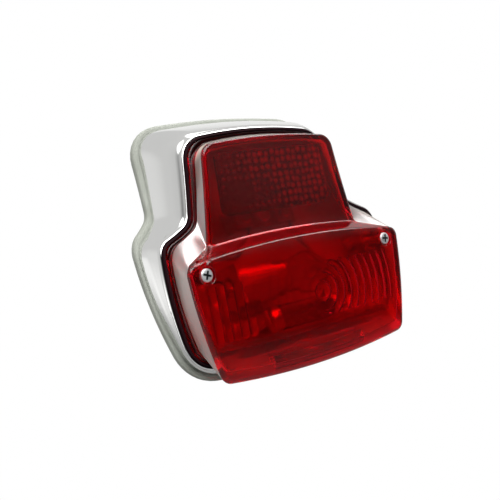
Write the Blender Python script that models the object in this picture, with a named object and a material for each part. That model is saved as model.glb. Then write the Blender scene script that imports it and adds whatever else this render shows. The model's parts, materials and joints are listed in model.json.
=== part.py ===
"""Scooter tail light: a chromed housing with a shouldered red lens, fastened to a sloping panel.

World frame: metres, +Z up, the lens looks along -Y, +X is to the right as seen from in front.
The origin is the centre of the sloping plane that the rear gasket rests on.
"""
import math
from collections import namedtuple

import bmesh
import bpy
from mathutils import Matrix, Vector

MM = 0.001
GAP = 0.3                    # clearance between pieces that touch

# ---- driving dimensions, in millimetres ----
# Section planes are y = depth + slope * z, measured from the lower lens face (y) and its upper edge (z).
Plane = namedtuple("Plane", "depth slope")
RIM = Plane(14.6, 0.10)      # front edge of the housing
REAR = Plane(26.6, 0.265)    # rear edge of the housing
MOUNT = Plane(30.0, 0.265)   # rear face of the gasket, on the bodywork
CENTRE_Z = 8.0               # height of the mounting plane's centre above the lower lens edge

Outline = namedtuple("Outline", "top_half top_z waist_half waist_z shoulder_half shoulder_z foot_half foot_z "
                                "top_rise shoulder_bow flank_bow foot_drop top_r waist_r shoulder_r foot_r")
LENS_FACE = Outline(34.3, 47.0, 40.0, 6.7, 56.0, 0.3, 48.6, -45.0, 2.2, 0.0, 1.4, 3.2, 6.5, 2.0, 5.0, 5.0)
LENS_FOOT = Outline(33.1, 47.8, 40.4, 15.4, 53.1, 8.2, 51.0, -35.8, 3.0, -0.4, 2.1, 3.4, 10.6, 6.8, 8.4, 8.0)
RIM_EDGE = Outline(37.2, 51.7, 43.1, 18.0, 57.5, 11.0, 55.0, -39.1, 3.3, -0.4, 2.2, 4.2, 12.2, 7.2, 7.7, 13.3)
REAR_EDGE = Outline(45.9, 59.9, 49.8, 22.0, 60.3, 12.2, 52.8, -42.2, 3.4, -0.5, 3.3, 4.6, 13.9, 6.9, 10.8, 16.5)
GASKET_EDGE = Outline(48.8, 61.2, 50.8, 23.1, 61.2, 13.9, 54.4, -44.0, 3.4, -0.5, 2.7, 4.6, 17.2, 7.9, 11.6, 17.5)

INNER_FACE = LENS_FACE._replace(foot_z=LENS_FACE.foot_z + 2.0)     # the underside slopes, so its inside
INNER_FOOT = LENS_FOOT._replace(foot_z=LENS_FOOT.foot_z + 3.0)     # sits further in than the other walls

SIDE_BOW = -0.4              # the sides beside the upper face are slightly hollow
UPPER_FACE_SETBACK = 8.9     # the upper lens face lies this far behind the lower one
RIDGE_RISE = 4.2             # crown of the lower face's upper edge
WAIST_RISE = 2.2             # crown of the line where the shelf meets the upper face
LENS_WALL = 2.3
SHELL = 1.5                  # housing wall
FLARE = 1.4                  # how early the housing widens behind its rim
PLATE_FRONT = 2.4            # base plate's front, ahead of the mounting plane
PLATE_BACK = 1.4

SCREW_X, SCREW_Z = 47.8, -3.5
STUD_X, STUD_UP = 27.0, 20.0
STOP_UP, STOP_AHEAD = -23.5, 13.2        # stop bulb's axis, above and ahead of the mounting centre
SOCKET_BACK, SOCKET_LENGTH = -30.0, 18.0
FESTOON_UP, FESTOON_AHEAD = -39.6, 12.4
BAYONET_TURN = 18.0          # degrees from locked to released
PIN_X, BULB_BACK = -17.0, -22.0          # bayonet pins and the back of the bulb's base
BLOCK_UP, BLOCK_HALF, BLOCK_TOP = 6.0, 17.0, 9.0
TERMINAL_X = 11.0
GROMMET_X, GROMMET_UP = 0.0, 22.0

EDGE_STEPS = (4, 2, 2, 4, 4)             # segments along top, side, shoulder, flank and foot
CORNER_STEPS = 4
WAIST, SHOULDER = 1, 2                   # numbers of the outline's two middle corners

DATUM = Vector((0.0, MOUNT.depth + MOUNT.slope * CENTRE_Z, CENTRE_Z))
TILT = math.atan(MOUNT.slope)


# ---- frames ----
def world(x, y, z):
    """A point measured from the lower lens face and its upper edge, in metres."""
    return (Vector((x, y, z)) - DATUM) * MM


def seat(x, up, ahead):
    """A point measured on the mounting plane: x, up along it, ahead of it along its normal."""
    c, s = math.cos(TILT), math.sin(TILT)
    return Vector((x, s * up - c * ahead, c * up + s * ahead)) * MM


def frame_at(origin, forward):
    """Matrix that puts local +Z along forward at origin."""
    return Matrix.Translation(origin) @ forward.normalized().to_track_quat("Z", "Y").to_matrix().to_4x4()


AHEAD = seat(0, 0, 1).normalized()
RIGHT = Vector((1, 0, 0))


# ---- outlines ----
def mix(first, second, t):
    return Outline(*(p + (q - p) * t for p, q in zip(first, second)))


def arched(start, end, height, rise):
    """Edge from start to end whose height is a parabola crowned at x = 0."""
    half = max(abs(start), abs(end))

    def point(u):
        x = start + (end - start) * u
        return Vector((x, height + rise * (1 - (x / half) ** 2)))
    return point


def bowed(start, end, bow):
    """Edge from start to end that bulges outwards by bow."""
    start, end = Vector(start), Vector(end)
    run = end - start
    outward = Vector((run.y, -run.x)).normalized()
    return lambda u: start + run * u + outward * (4 * bow * u * (1 - u))


def corner_mark(corner):
    """Index of the point at the middle of a rounded corner."""
    before = sum(EDGE_STEPS[:corner + 1]) + corner + 1 + corner * (CORNER_STEPS - 1)
    return before + CORNER_STEPS // 2 - 1


def half_outline(o):
    """Points of the left half, from top centre to bottom centre."""
    edges = [
        arched(0, -o.top_half, o.top_z, o.top_rise),
        bowed((-o.top_half, o.top_z), (-o.waist_half, o.waist_z), SIDE_BOW),
        bowed((-o.waist_half, o.waist_z), (-o.shoulder_half, o.shoulder_z), o.shoulder_bow),
        bowed((-o.shoulder_half, o.shoulder_z), (-o.foot_half, o.foot_z), o.flank_bow),
        arched(-o.foot_half, 0, o.foot_z, -o.foot_drop),
    ]
    lengths = [(edge(1) - edge(0)).length for edge in edges]
    first, last = [0.0] * 5, [1.0] * 5
    turns = []
    for i, radius in enumerate((o.top_r, o.waist_r, o.shoulder_r, o.foot_r)):
        turn = (edges[i](1) - edges[i](0.95)).angle(edges[i + 1](0.05) - edges[i + 1](0))
        trim = radius * math.tan(turn / 2)
        last[i] = 1 - trim / lengths[i]
        first[i + 1] = trim / lengths[i + 1]
        turns.append(turn)
    points = []
    for i, edge in enumerate(edges):
        steps = EDGE_STEPS[i]
        points += [edge(first[i] + (last[i] - first[i]) * k / steps) for k in range(steps + 1)]
        if i < len(turns):
            start, tip, end = edge(last[i]), edge(1), edges[i + 1](first[i + 1])
            weight = math.cos(turns[i] / 2)
            for k in range(1, CORNER_STEPS):
                t = k / CORNER_STEPS
                a, b, c = (1 - t) ** 2, 2 * weight * t * (1 - t), t ** 2
                points.append((start * a + tip * b + end * c) / (a + b + c))
    return points


def inset(points, distance):
    """A closed outline moved inwards by distance."""
    count = len(points)
    moved = []
    for i, p in enumerate(points):
        run = (points[(i + 1) % count] - points[i - 1]).normalized()
        moved.append(p + Vector((-run.y, run.x)) * distance)
    return moved


def flat_loop(outline, distance=0.0):
    left = half_outline(outline)
    right = [Vector((-p.x, p.y)) for p in reversed(left[1:-1])]
    return inset(left + right, distance)


def loop(outline, plane, distance=0.0, behind=0.0):
    """A closed outline on a sloping section plane."""
    return [world(p.x, plane.depth + plane.slope * p.y + behind, p.y) for p in flat_loop(outline, distance)]


def face_setbacks(outline):
    """How far each point of the lens face's outline lies behind its lower part; the shelf is straight."""
    points = flat_loop(outline)
    high, low = points[corner_mark(WAIST)].y, points[corner_mark(SHOULDER)].y
    return [UPPER_FACE_SETBACK * min(1.0, max(0.0, (p.y - low) / (high - low))) for p in points]


def face_loop(outline, distance, behind):
    points = flat_loop(outline, distance)
    return [world(p.x, back + behind, p.y) for p, back in zip(points, face_setbacks(outline))]


# ---- mesh helpers ----
def material(name, colour, roughness, metallic=0.0, alpha=1.0):
    made = bpy.data.materials.get(name) or bpy.data.materials.new(name)
    made.use_nodes = True
    shader = made.node_tree.nodes["Principled BSDF"]
    shader.inputs["Base Color"].default_value = (*colour, 1.0)
    shader.inputs["Roughness"].default_value = roughness
    shader.inputs["Metallic"].default_value = metallic
    shader.inputs["Alpha"].default_value = alpha
    made.diffuse_color = (*colour, 1.0)
    return made


CHROME = material("chrome", (0.80, 0.80, 0.80), 0.06, 1.0)
ZINC = material("zinc_plate", (0.62, 0.63, 0.64), 0.32, 1.0)
BRASS = material("brass", (0.70, 0.50, 0.22), 0.28, 1.0)
RED = material("red_lens", (0.42, 0.005, 0.012), 0.06)
CLEAR = material("clear_window", (0.90, 0.90, 0.88), 0.05)
GLASS = material("bulb_glass", (0.92, 0.94, 0.94), 0.02)
BLACK_RUBBER = material("black_rubber", (0.02, 0.02, 0.022), 0.7)
GREY_RUBBER = material("grey_rubber", (0.42, 0.43, 0.42), 0.75)
BOARD = material("laminate_board", (0.30, 0.14, 0.06), 0.6)
TUNGSTEN = material("tungsten", (0.30, 0.30, 0.31), 0.35, 1.0)
SLEEVE = material("wire_sleeve", (0.05, 0.05, 0.055), 0.5)


def finish(name, mesh, surface, matrix=None, smooth=True):
    piece = bpy.data.objects.new(name, mesh)
    bpy.context.collection.objects.link(piece)
    mesh.materials.append(surface)
    if matrix is not None:
        piece.matrix_world = matrix
    if smooth:
        mesh.shade_smooth()
        mesh.set_sharp_from_angle(angle=math.radians(32))
    return piece


def to_mesh(name, build, surface, matrix=None, smooth=True):
    """Mesh object from a function that fills a bmesh; normals are turned outwards."""
    bm = bmesh.new()
    build(bm)
    bmesh.ops.recalc_face_normals(bm, faces=bm.faces)
    mesh = bpy.data.meshes.new(name)
    bm.to_mesh(mesh)
    bm.free()
    return finish(name, mesh, surface, matrix, smooth)


def bridge(bm, loops, ring=False):
    """Quads between consecutive closed loops of equal length; ring also joins the last to the first."""
    rows = [[bm.verts.new(p) for p in points] for points in loops]
    pairs = list(zip(rows, rows[1:]))
    if ring:
        pairs.append((rows[-1], rows[0]))
    for lower, upper in pairs:
        for i in range(len(lower)):
            bm.faces.new((lower[i - 1], lower[i], upper[i], upper[i - 1]))
    return rows


def circle(radius, height, segments):
    return [Vector((radius * math.cos(a), radius * math.sin(a), height)) * MM
            for a in (2 * math.pi * i / segments for i in range(segments))]


def turned(name, profile, surface, matrix, segments=24, ring=False):
    """Solid of revolution about local +Z from (radius, height) pairs; radius 0 ends become flat caps."""
    def build(bm):
        rows = bridge(bm, [circle(r, h, segments) for r, h in profile if r > 0], ring)
        if not ring:
            bm.faces.new(rows[0])
            bm.faces.new(rows[-1])
    return to_mesh(name, build, surface, matrix)


def polygon_ring(name, across_flats, bore, height, surface, matrix, segments=24):
    """Hexagon prism with a round bore."""
    def hexagon(level):
        points = []
        for i in range(segments):
            a = 2 * math.pi * i / segments
            off = (a + math.pi / 6) % (math.pi / 3) - math.pi / 6
            r = across_flats / 2 / math.cos(off)
            points.append(Vector((r * math.cos(a), r * math.sin(a), level)) * MM)
        return points

    def build(bm):
        bridge(bm, [circle(bore, 0, segments), hexagon(0), hexagon(height), circle(bore, height, segments)], True)
    return to_mesh(name, build, surface, matrix)


def prism(name, points, surface, smooth=False):
    """Closed solid between two lists of corner points that face each other."""
    def build(bm):
        rows = bridge(bm, points)
        bm.faces.new(rows[0])
        bm.faces.new(rows[-1])
    return to_mesh(name, build, surface, smooth=smooth)


def block(x, up, ahead):
    """Two facing corner lists of a box given by its spans on the mounting plane."""
    return [[seat(px, pu, v) for px, pu in ((x[0], up[0]), (x[1], up[0]), (x[1], up[1]), (x[0], up[1]))]
            for v in ahead]


def seat_block(name, x, up, ahead, surface):
    return prism(name, block(x, up, ahead), surface)


def rod(name, points, radius, surface, resolution=2):
    """Round wire along a list of points."""
    curve = bpy.data.curves.new(name, "CURVE")
    curve.dimensions = "3D"
    curve.bevel_depth = radius * MM
    curve.bevel_resolution = resolution
    curve.use_fill_caps = True
    spline = curve.splines.new("POLY")
    spline.points.add(len(points) - 1)
    for slot, point in zip(spline.points, points):
        slot.co = (*point, 1.0)
    curve.materials.append(surface)
    piece = bpy.data.objects.new(name, curve)
    bpy.context.collection.objects.link(piece)
    return piece


def smooth_route(knots, steps):
    """Catmull-Rom curve through the knots."""
    padded = [2 * knots[0] - knots[1], *knots, 2 * knots[-1] - knots[-2]]
    route = []
    for a, b, c, d in zip(padded, padded[1:], padded[2:], padded[3:]):
        for k in range(steps):
            t = k / steps
            route.append(0.5 * (2 * b + (c - a) * t + (2 * a - 5 * b + 4 * c - d) * t * t
                                + (3 * b - a - 3 * c + d) * t ** 3))
    return route + [knots[-1]]


def cutter(piece):
    piece.hide_render = True
    piece.display_type = "WIRE"
    return piece


def combine(piece, tool, operation):
    step = piece.modifiers.new(f"{operation}_{tool.name}", "BOOLEAN")
    step.operation = operation
    step.object = cutter(tool)
    step.solver = "EXACT"


def cut(piece, tool):
    combine(piece, tool, "DIFFERENCE")


def join(piece, tool):
    combine(piece, tool, "UNION")


def drill(piece, origin, forward, radius, depth, segments=20):
    """Straight round hole from origin, reaching depth both ways along forward."""
    matrix = frame_at(origin, forward)
    cut(piece, turned(f"hole_in_{piece.name}", [(radius, -depth), (radius, depth)], ZINC, matrix, segments))


# ---- housing and its seals ----
def rear_gasket():
    inner = 6.5
    rebate = 2.2

    def build(bm):
        bridge(bm, [
            loop(GASKET_EDGE, MOUNT),
            loop(GASKET_EDGE, MOUNT, 0, REAR.depth - MOUNT.depth + GAP),
            loop(REAR_EDGE, MOUNT, rebate, REAR.depth - MOUNT.depth + GAP),
            loop(REAR_EDGE, MOUNT, rebate, -1.2),
            loop(REAR_EDGE, MOUNT, inner, -1.2),
            loop(REAR_EDGE, MOUNT, inner),
        ], ring=True)
    return to_mesh("rear_gasket", build, GREY_RUBBER)


def housing_section(t, distance):
    """Outline of the housing at t from its rim, 0, to its rear edge, 1."""
    widening = 1 - (1 - t) ** FLARE
    plane = Plane(RIM.depth + (REAR.depth - RIM.depth) * t, RIM.slope + (REAR.slope - RIM.slope) * t)
    return loop(mix(RIM_EDGE, REAR_EDGE, widening), plane, distance)


def housing():
    def build(bm):
        bridge(bm, [
            loop(RIM_EDGE, RIM, 0.8, 0.4),
            loop(RIM_EDGE, RIM, 0.4),
            loop(RIM_EDGE, RIM, 0.0, 0.4),
            *(housing_section(t, 0.0) for t in (0.15, 0.35, 0.6, 0.8, 1.0)),
            *(housing_section(t, SHELL) for t in (1.0, 0.8)),
            loop(RIM_EDGE, RIM, 1.7, 3.2),
            loop(RIM_EDGE, RIM, 4.8, 3.2),
            loop(RIM_EDGE, RIM, 4.8, 2.0),
            loop(RIM_EDGE, RIM, 0.8, 2.0),
        ], ring=True)
    return to_mesh("housing", build, CHROME)


def lens_gasket():
    def build(bm):
        bridge(bm, [
            loop(RIM_EDGE, RIM, 1.1, 1.7),
            loop(RIM_EDGE, RIM, 1.1, -0.7),
            loop(RIM_EDGE, RIM, 2.2, -0.9),
            loop(RIM_EDGE, RIM, 2.2, 0.8),
            loop(RIM_EDGE, RIM, 4.8, 0.8),
            loop(RIM_EDGE, RIM, 4.8, 1.7),
        ], ring=True)
    return to_mesh("lens_gasket", build, BLACK_RUBBER)


# ---- lens and what is fixed in it ----
def cap_lens(bm, row):
    """Close a loop of the lens with its lower face, sloping shelf and upper face."""
    count = len(row)
    waist, shoulder = corner_mark(WAIST), corner_mark(SHOULDER)
    steps = 8

    def crowned(left, right, rise):
        line = [left]
        for k in range(1, steps):
            t = k / steps
            point = left.co.lerp(right.co, t)
            point.z += rise * 4 * t * (1 - t) * MM
            line.append(bm.verts.new(point))
        return line + [right]

    ridge = crowned(row[shoulder], row[count - shoulder], RIDGE_RISE)
    waistline = crowned(row[waist], row[count - waist], WAIST_RISE)
    bm.faces.new(row[shoulder:count - shoulder + 1] + ridge[-2:0:-1])
    bm.faces.new(row[:waist + 1] + waistline[1:] + row[count - waist + 1:])
    bm.faces.new(row[waist:shoulder + 1] + [ridge[1], waistline[1]])
    bm.faces.new(row[count - shoulder:count - waist + 1] + [waistline[-2], ridge[-2]])
    for k in range(1, steps - 1):
        bm.faces.new((ridge[k], ridge[k + 1], waistline[k + 1], waistline[k]))


def lens_shell():
    flange = Plane(13.2, RIM.slope)

    def build(bm):
        rows = bridge(bm, [
            face_loop(LENS_FACE, 1.4, 0.0),
            face_loop(LENS_FACE, 0.4, 0.4),
            face_loop(LENS_FACE, 0.0, 1.4),
            loop(LENS_FOOT, flange),
            loop(RIM_EDGE, flange, 2.5),
            loop(RIM_EDGE, flange, 2.5, 1.9),
            loop(INNER_FOOT, flange, 2.0, 1.9),
            face_loop(INNER_FACE, LENS_WALL, LENS_WALL + 0.8),
            face_loop(INNER_FACE, LENS_WALL + 0.8, LENS_WALL),
        ])
        cap_lens(bm, rows[0])
        cap_lens(bm, rows[-1])
        bm.normal_update()
        bmesh.ops.triangulate(bm, faces=bm.faces)
    return to_mesh("lens", build, RED)


def foot_wall_point(x, along, depth):
    """A point of the lens's sloping underside; along runs from its front edge, 0, to its flange, 1."""
    front = Vector((1.4, LENS_FACE.foot_z - LENS_FACE.foot_drop * (1 - (x / LENS_FACE.foot_half) ** 2)))
    z = LENS_FOOT.foot_z - LENS_FOOT.foot_drop * (1 - (x / LENS_FOOT.foot_half) ** 2)
    back = Vector((13.2 + RIM.slope * z, z))
    run = back - front
    inward = Vector((-run.y, run.x)).normalized()
    p = front + run * along + inward * depth
    return world(x, p.x, p.y)


def foot_patch(name, half_width, along, depth, surface):
    """A closed piece of the lens's underside between two distances along it and two depths."""
    steps = 8
    corners = ((along[0], depth[0]), (along[1], depth[0]), (along[1], depth[1]), (along[0], depth[1]))

    def build(bm):
        rows = []
        for i in range(steps + 1):
            x = half_width * (2 * i / steps - 1)
            rows.append([foot_wall_point(x, a, d) for a, d in corners])
        made = bridge(bm, rows)
        bm.faces.new(made[0])
        bm.faces.new(made[-1])
    return to_mesh(name, build, surface)


def lens():
    piece = lens_shell()
    for side, tag in ((-1, "left"), (1, "right")):
        base = world(side * SCREW_X, 0, SCREW_Z)
        backwards = frame_at(base, Vector((0, 1, 0)))
        join(piece, turned(f"pillar_{tag}_in_lens", [(3.5, 1.1), (3.5, 14.7)], RED, backwards, 24))
        cut(piece, turned(f"bore_{tag}_in_lens", [(1.9, -1), (1.9, 16)], RED, backwards, 16))
        cut(piece, turned(f"recess_{tag}_in_lens", [(3.4, -2), (3.4, 1.9)], RED, backwards, 20))
    cut(piece, foot_patch("window_slot", 24.3, (0.22, 0.74), (-3, 4), RED))
    return piece


def plate_window():
    return foot_patch("plate_window", 24.0, (0.25, 0.71), (0.15, 1.55), CLEAR)


def reflex_reflector():
    corners = ((-27.5, 43.6), (-28.3, 17.5), (28.3, 17.5), (27.5, 43.6))
    back = UPPER_FACE_SETBACK + LENS_WALL + GAP

    def build(bm):
        rows = bridge(bm, [[world(x, back + d, z) for x, z in corners] for d in (0.0, 2.8)])
        bm.faces.new(rows[0])
        bm.faces.new(rows[-1])
        upright = [e for e in bm.edges if abs((e.verts[0].co - e.verts[1].co).y) > MM]
        bmesh.ops.bevel(bm, geom=upright, offset=2.0 * MM, segments=3, affect="EDGES", profile=0.5)
    return to_mesh("reflex_reflector", build, RED)


def lens_screw(side, tag):
    """Cheese-head screw with a cross recess; its origin is on its own axis."""
    matrix = frame_at(world(side * SCREW_X, 0.3, SCREW_Z), Vector((0, 1, 0)))
    profile = [(1.9, 0.0), (2.5, 0.15), (2.7, 0.5), (2.7, 1.3), (1.5, 1.3), (1.5, 19.4), (1.0, 20.0)]
    piece = turned(f"lens_screw_{tag}", profile, ZINC, matrix, 20)
    for turn in (0, math.pi / 2):
        arm = Matrix.Rotation(turn + math.pi / 4, 4, "Z")

        def slot(bm):
            bmesh.ops.create_cube(bm, size=1, matrix=Matrix.Diagonal((3.0 * MM, 0.6 * MM, 1.6 * MM, 1)))
        cut(piece, to_mesh(f"cross_{tag}", slot, ZINC, matrix @ arm, smooth=False))
    return piece


# ---- base plate and the fixings ----
def base_plate():
    def build(bm):
        rows = bridge(bm, [loop(REAR_EDGE, MOUNT, 2.6, -d / math.cos(TILT)) for d in (PLATE_BACK, PLATE_FRONT)])
        bm.faces.new(rows[0])
        bm.faces.new(rows[-1])
    piece = to_mesh("base_plate", build, ZINC)
    for side in (-1, 1):
        drill(piece, seat(side * STUD_X, STUD_UP, PLATE_BACK), AHEAD, 2.9, 4)
        drill(piece, world(side * SCREW_X, 25, SCREW_Z), Vector((0, 1, 0)), 2.2, 8)
        drill(piece, seat(-37.5, STOP_UP + side * 4.5, PLATE_BACK), AHEAD, 1.6, 4, 12)
        drill(piece, seat(side * 28.5, FESTOON_UP + 1.5, PLATE_BACK), AHEAD, 1.6, 4, 12)
    drill(piece, seat(GROMMET_X, GROMMET_UP, PLATE_BACK), AHEAD, 5.7, 4)
    drill(piece, seat(0, BLOCK_UP, PLATE_BACK), AHEAD, 1.9, 4, 12)
    return piece


def pillar(side, tag):
    """Tapped spacer that a lens screw goes into, with a spigot through the base plate."""
    x = side * SCREW_X

    def slanted(radius, front, ahead):
        rows = []
        for i in range(20):
            a = 2 * math.pi * i / 20
            px, z = x + radius * math.cos(a), SCREW_Z + radius * math.sin(a)
            plane_y = MOUNT.depth + MOUNT.slope * z - ahead / math.cos(TILT)
            rows.append((world(px, front, z), world(px, plane_y, z)))
        return [[row[0] for row in rows], [row[1] for row in rows]]

    piece = prism(f"screw_pillar_{tag}", slanted(3.2, 15.0, PLATE_FRONT + GAP), ZINC, smooth=True)
    join(piece, prism(f"spigot_{tag}", slanted(1.85, 18.0, PLATE_BACK), ZINC))
    cut(piece, turned(f"tapping_{tag}", [(1.8, -1), (1.8, 9)], ZINC,
                      frame_at(world(x, 13, SCREW_Z), Vector((0, 1, 0))), 16))
    return piece


def stud(side, tag):
    matrix = frame_at(seat(side * STUD_X, STUD_UP, 0), AHEAD)
    front = PLATE_FRONT + GAP
    shank = [(2.0, -14.0), (2.5, -13.4), (2.5, front), (4.4, front), (4.4, front + 2.6), (3.6, front + 3.2)]
    return turned(f"mounting_stud_{tag}", shank, ZINC, matrix, 20)


def stud_fixings(side, tag):
    """Flat washer, split washer and nut on the stud, behind a 1.2 mm panel."""
    def at(ahead):
        return frame_at(seat(side * STUD_X, STUD_UP, ahead), AHEAD)
    turned(f"flat_washer_{tag}", [(2.8, 0), (5.0, 0), (5.0, 0.9), (2.8, 0.9)], ZINC, at(-2.4), 20, ring=True)
    split_washer(f"split_washer_{tag}", at(-3.9))
    polygon_ring(f"mounting_nut_{tag}", 8.0, 2.8, 4.0, ZINC, at(-8.2))


def split_washer(name, matrix):
    inner, outer, thick, pitch = 2.8, 4.4, 0.9, 0.25
    steps = 18

    def build(bm):
        rows = []
        for i in range(steps + 1):
            a = math.radians(8 + 344 * i / steps)
            lift = pitch * i / steps
            section = ((inner, lift), (outer, lift), (outer, lift + thick), (inner, lift + thick))
            rows.append([Vector((r * math.cos(a), r * math.sin(a), h)) * MM for r, h in section])
        made = bridge(bm, rows)
        bm.faces.new(made[0])
        bm.faces.new(made[-1])
    to_mesh(name, build, ZINC, matrix)


def rivet(name, x, up, height):
    """Rivet through the base plate and a piece whose top is at the given height."""
    matrix = frame_at(seat(x, up, 0), AHEAD)
    top = height + GAP
    profile = [(1.0, 0.3), (2.2, 0.5), (2.2, PLATE_BACK - GAP), (1.25, PLATE_BACK - GAP), (1.25, top),
               (2.4, top), (2.2, top + 0.8), (1.2, top + 1.1)]
    turned(name, profile, ZINC, matrix, 12)


# ---- stop lamp ----
def stop_point(x):
    return seat(x, STOP_UP, STOP_AHEAD)


def stop_frame(x=0.0):
    """Local +Z along +X on the stop bulb's axis, local +X up the mounting plane."""
    up = seat(0, 1, 0).normalized()
    turn = Matrix((up, RIGHT.cross(up), RIGHT)).transposed()
    return Matrix.Translation(stop_point(x)) @ turn.to_4x4()


def socket_bracket():
    wall = (SOCKET_BACK - 1.3, SOCKET_BACK - GAP)
    foot_top = PLATE_FRONT + GAP + 1.0
    half = 8.3
    side_view = ((-42.5, PLATE_FRONT + GAP), (wall[1], PLATE_FRONT + GAP), (wall[1], STOP_AHEAD + half),
                 (wall[0], STOP_AHEAD + half), (wall[0], foot_top), (-42.5, foot_top))
    piece = prism("socket_bracket", [[seat(x, STOP_UP + w, v) for x, v in side_view] for w in (-half, half)], ZINC)
    drill(piece, stop_point(SOCKET_BACK), RIGHT, 4.0, 3)
    for side in (-1, 1):
        drill(piece, seat(-37.5, STOP_UP + side * 4.5, foot_top), AHEAD, 1.6, 2, 12)
        rivet(f"bracket_rivet_{'upper' if side > 0 else 'lower'}", -37.5, STOP_UP + side * 4.5, foot_top)


def polar_block(name, length, angles, radii):
    """Sector of a ring about the stop bulb's axis; angles in degrees from up the mounting plane."""
    steps = 6

    def build(bm):
        rows = []
        for i in range(steps + 1):
            a = math.radians(angles[0] + (angles[1] - angles[0]) * i / steps)
            rows.append([Vector((r * math.cos(a), r * math.sin(a), h)) * MM
                         for r, h in ((radii[0], length[0]), (radii[1], length[0]),
                                      (radii[1], length[1]), (radii[0], length[1]))])
        made = bridge(bm, rows)
        bm.faces.new(made[0])
        bm.faces.new(made[-1])
    return to_mesh(name, build, ZINC, stop_frame())


def socket_shell():
    """Bayonet socket with two J-slots; the pins rest at the locked end of each."""
    profile = [(5.0, 0), (8.3, 0), (8.3, SOCKET_LENGTH), (7.8, SOCKET_LENGTH), (7.8, 0.6), (5.0, 0.6)]
    piece = turned("stop_socket_shell", profile, ZINC, stop_frame(SOCKET_BACK), 32, ring=True)
    half_slot = 9.5
    mouth = SOCKET_BACK + SOCKET_LENGTH + 2
    for number, start in enumerate((0, 180)):
        across = (start - half_slot, start + BAYONET_TURN + half_slot)
        along = (start + BAYONET_TURN - half_slot, start + BAYONET_TURN + half_slot)
        cut(piece, polar_block(f"cross_slot_{number}", (PIN_X - 1.35, PIN_X + 1.35), across, (7, 9)))
        cut(piece, polar_block(f"entry_slot_{number}", (PIN_X, mouth), along, (7, 9)))
    return piece


def stop_bulb():
    """Bayonet base with its pins, glass and filament; origins on the turning axis."""
    back, front = BULB_BACK, BULB_BACK + 16.0
    base = turned("stop_bulb_base", [(1.2, back - 0.7), (2.2, back - 0.2), (2.4, back), (6.4, back + 0.3),
                                     (7.4, back + 1.6), (7.4, front), (6.9, front), (6.9, front - 6)],
                  BRASS, stop_frame(), 28)
    pins = turned("bayonet_pins", [(1.0, -9.0), (1.0, 9.0)], BRASS,
                  frame_at(stop_point(PIN_X), seat(0, 1, 0)), 12)
    join(base, pins)
    wall, globe, globe_x = 0.6, 9.0, BULB_BACK + 31.0
    neck = front - 5.4
    outer = [(6.5, neck), (6.5, front + 1.0)]
    outer += [(globe * math.sin(a), globe_x - globe * math.cos(a))
              for a in (math.radians(d) for d in range(46, 179, 19))]
    inner = [(max(r - wall, 0.2), h if r > wall * 2 else h - wall) for r, h in outer]
    turned("stop_bulb_glass", outer_and_inner(outer, inner), GLASS, stop_frame(), 20, ring=True)
    tip, spread = globe_x, 3.2
    wire = [seat(x, STOP_UP + w, STOP_AHEAD) for x, w in
            ((front - 5.6, -1.6), (front - 1, -1.8), (tip - 1, -spread), (tip, -spread + 0.4),
             (tip + 0.5, 0), (tip, spread - 0.4), (tip - 1, spread), (front - 1, 1.8), (front - 5.6, 1.6))]
    rod("stop_bulb_filament", wire, 0.3, TUNGSTEN, 1)


def outer_and_inner(outer, inner):
    """Profile of a thin turned wall that is open at its first end and closed at its last."""
    return outer + inner[::-1]


def stop_contact():
    turned("socket_insulator", [(1.5, 0), (7.4, 0), (7.4, 1.6), (1.5, 1.6)], BOARD,
           stop_frame(SOCKET_BACK + 0.9), 28, ring=True)
    tail, head = SOCKET_BACK - 5.5, BULB_BACK - 1.0
    turned("contact_plunger", [(1.1, tail), (1.1, head - 1.0), (2.4, head - 1.0), (2.4, head - 0.2), (1.8, head)],
           BRASS, stop_frame(), 16)
    turns, per_turn, radius = 2, 12, 2.0
    start, end = SOCKET_BACK + 3.1, head - 1.55
    frame = stop_frame()
    coil = []
    for i in range(turns * per_turn + 1):
        a = 2 * math.pi * i / per_turn
        along = start + (end - start) * i / (turns * per_turn)
        coil.append(frame @ (Vector((radius * math.cos(a), radius * math.sin(a), along)) * MM))
    rod("contact_spring", coil, 0.22, ZINC, 1)


# ---- tail and number-plate lamp ----
def festoon_frame(side=1):
    direction = RIGHT * side
    return frame_at(seat(0, FESTOON_UP, FESTOON_AHEAD), direction)


def festoon_lamp():
    turned("festoon_glass", [(4.6, -13.2), (5.1, -13.2), (5.1, 13.2), (4.6, 13.2)], GLASS, festoon_frame(), 20, ring=True)
    rod("festoon_filament", [seat(x, FESTOON_UP, FESTOON_AHEAD - 0.8 * math.cos(x / 13 * math.pi / 2))
                             for x in range(-13, 14, 2)], 0.25, TUNGSTEN, 1)
    board_top = PLATE_FRONT + GAP + 1.6
    piece = seat_block("festoon_board", (-32, 32), (FESTOON_UP - 2.5, FESTOON_UP + 5.5),
                       (PLATE_FRONT + GAP, board_top), BOARD)
    for side, tag in ((-1, "left"), (1, "right")):
        turned(f"festoon_cap_{tag}", [(5.3, 13.5), (5.3, 16.6), (4.3, 18.2), (1.2, 19.8), (1.2, 21.2), (0.9, 21.4)],
               BRASS, festoon_frame(side), 20)
        drill(piece, seat(side * 28.5, FESTOON_UP + 1.5, board_top), AHEAD, 1.6, 3, 12)
        festoon_clip(side, tag, board_top + GAP)
        rivet(f"board_rivet_{tag}", side * 28.5, FESTOON_UP + 1.5, board_top + GAP + 0.6)


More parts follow.
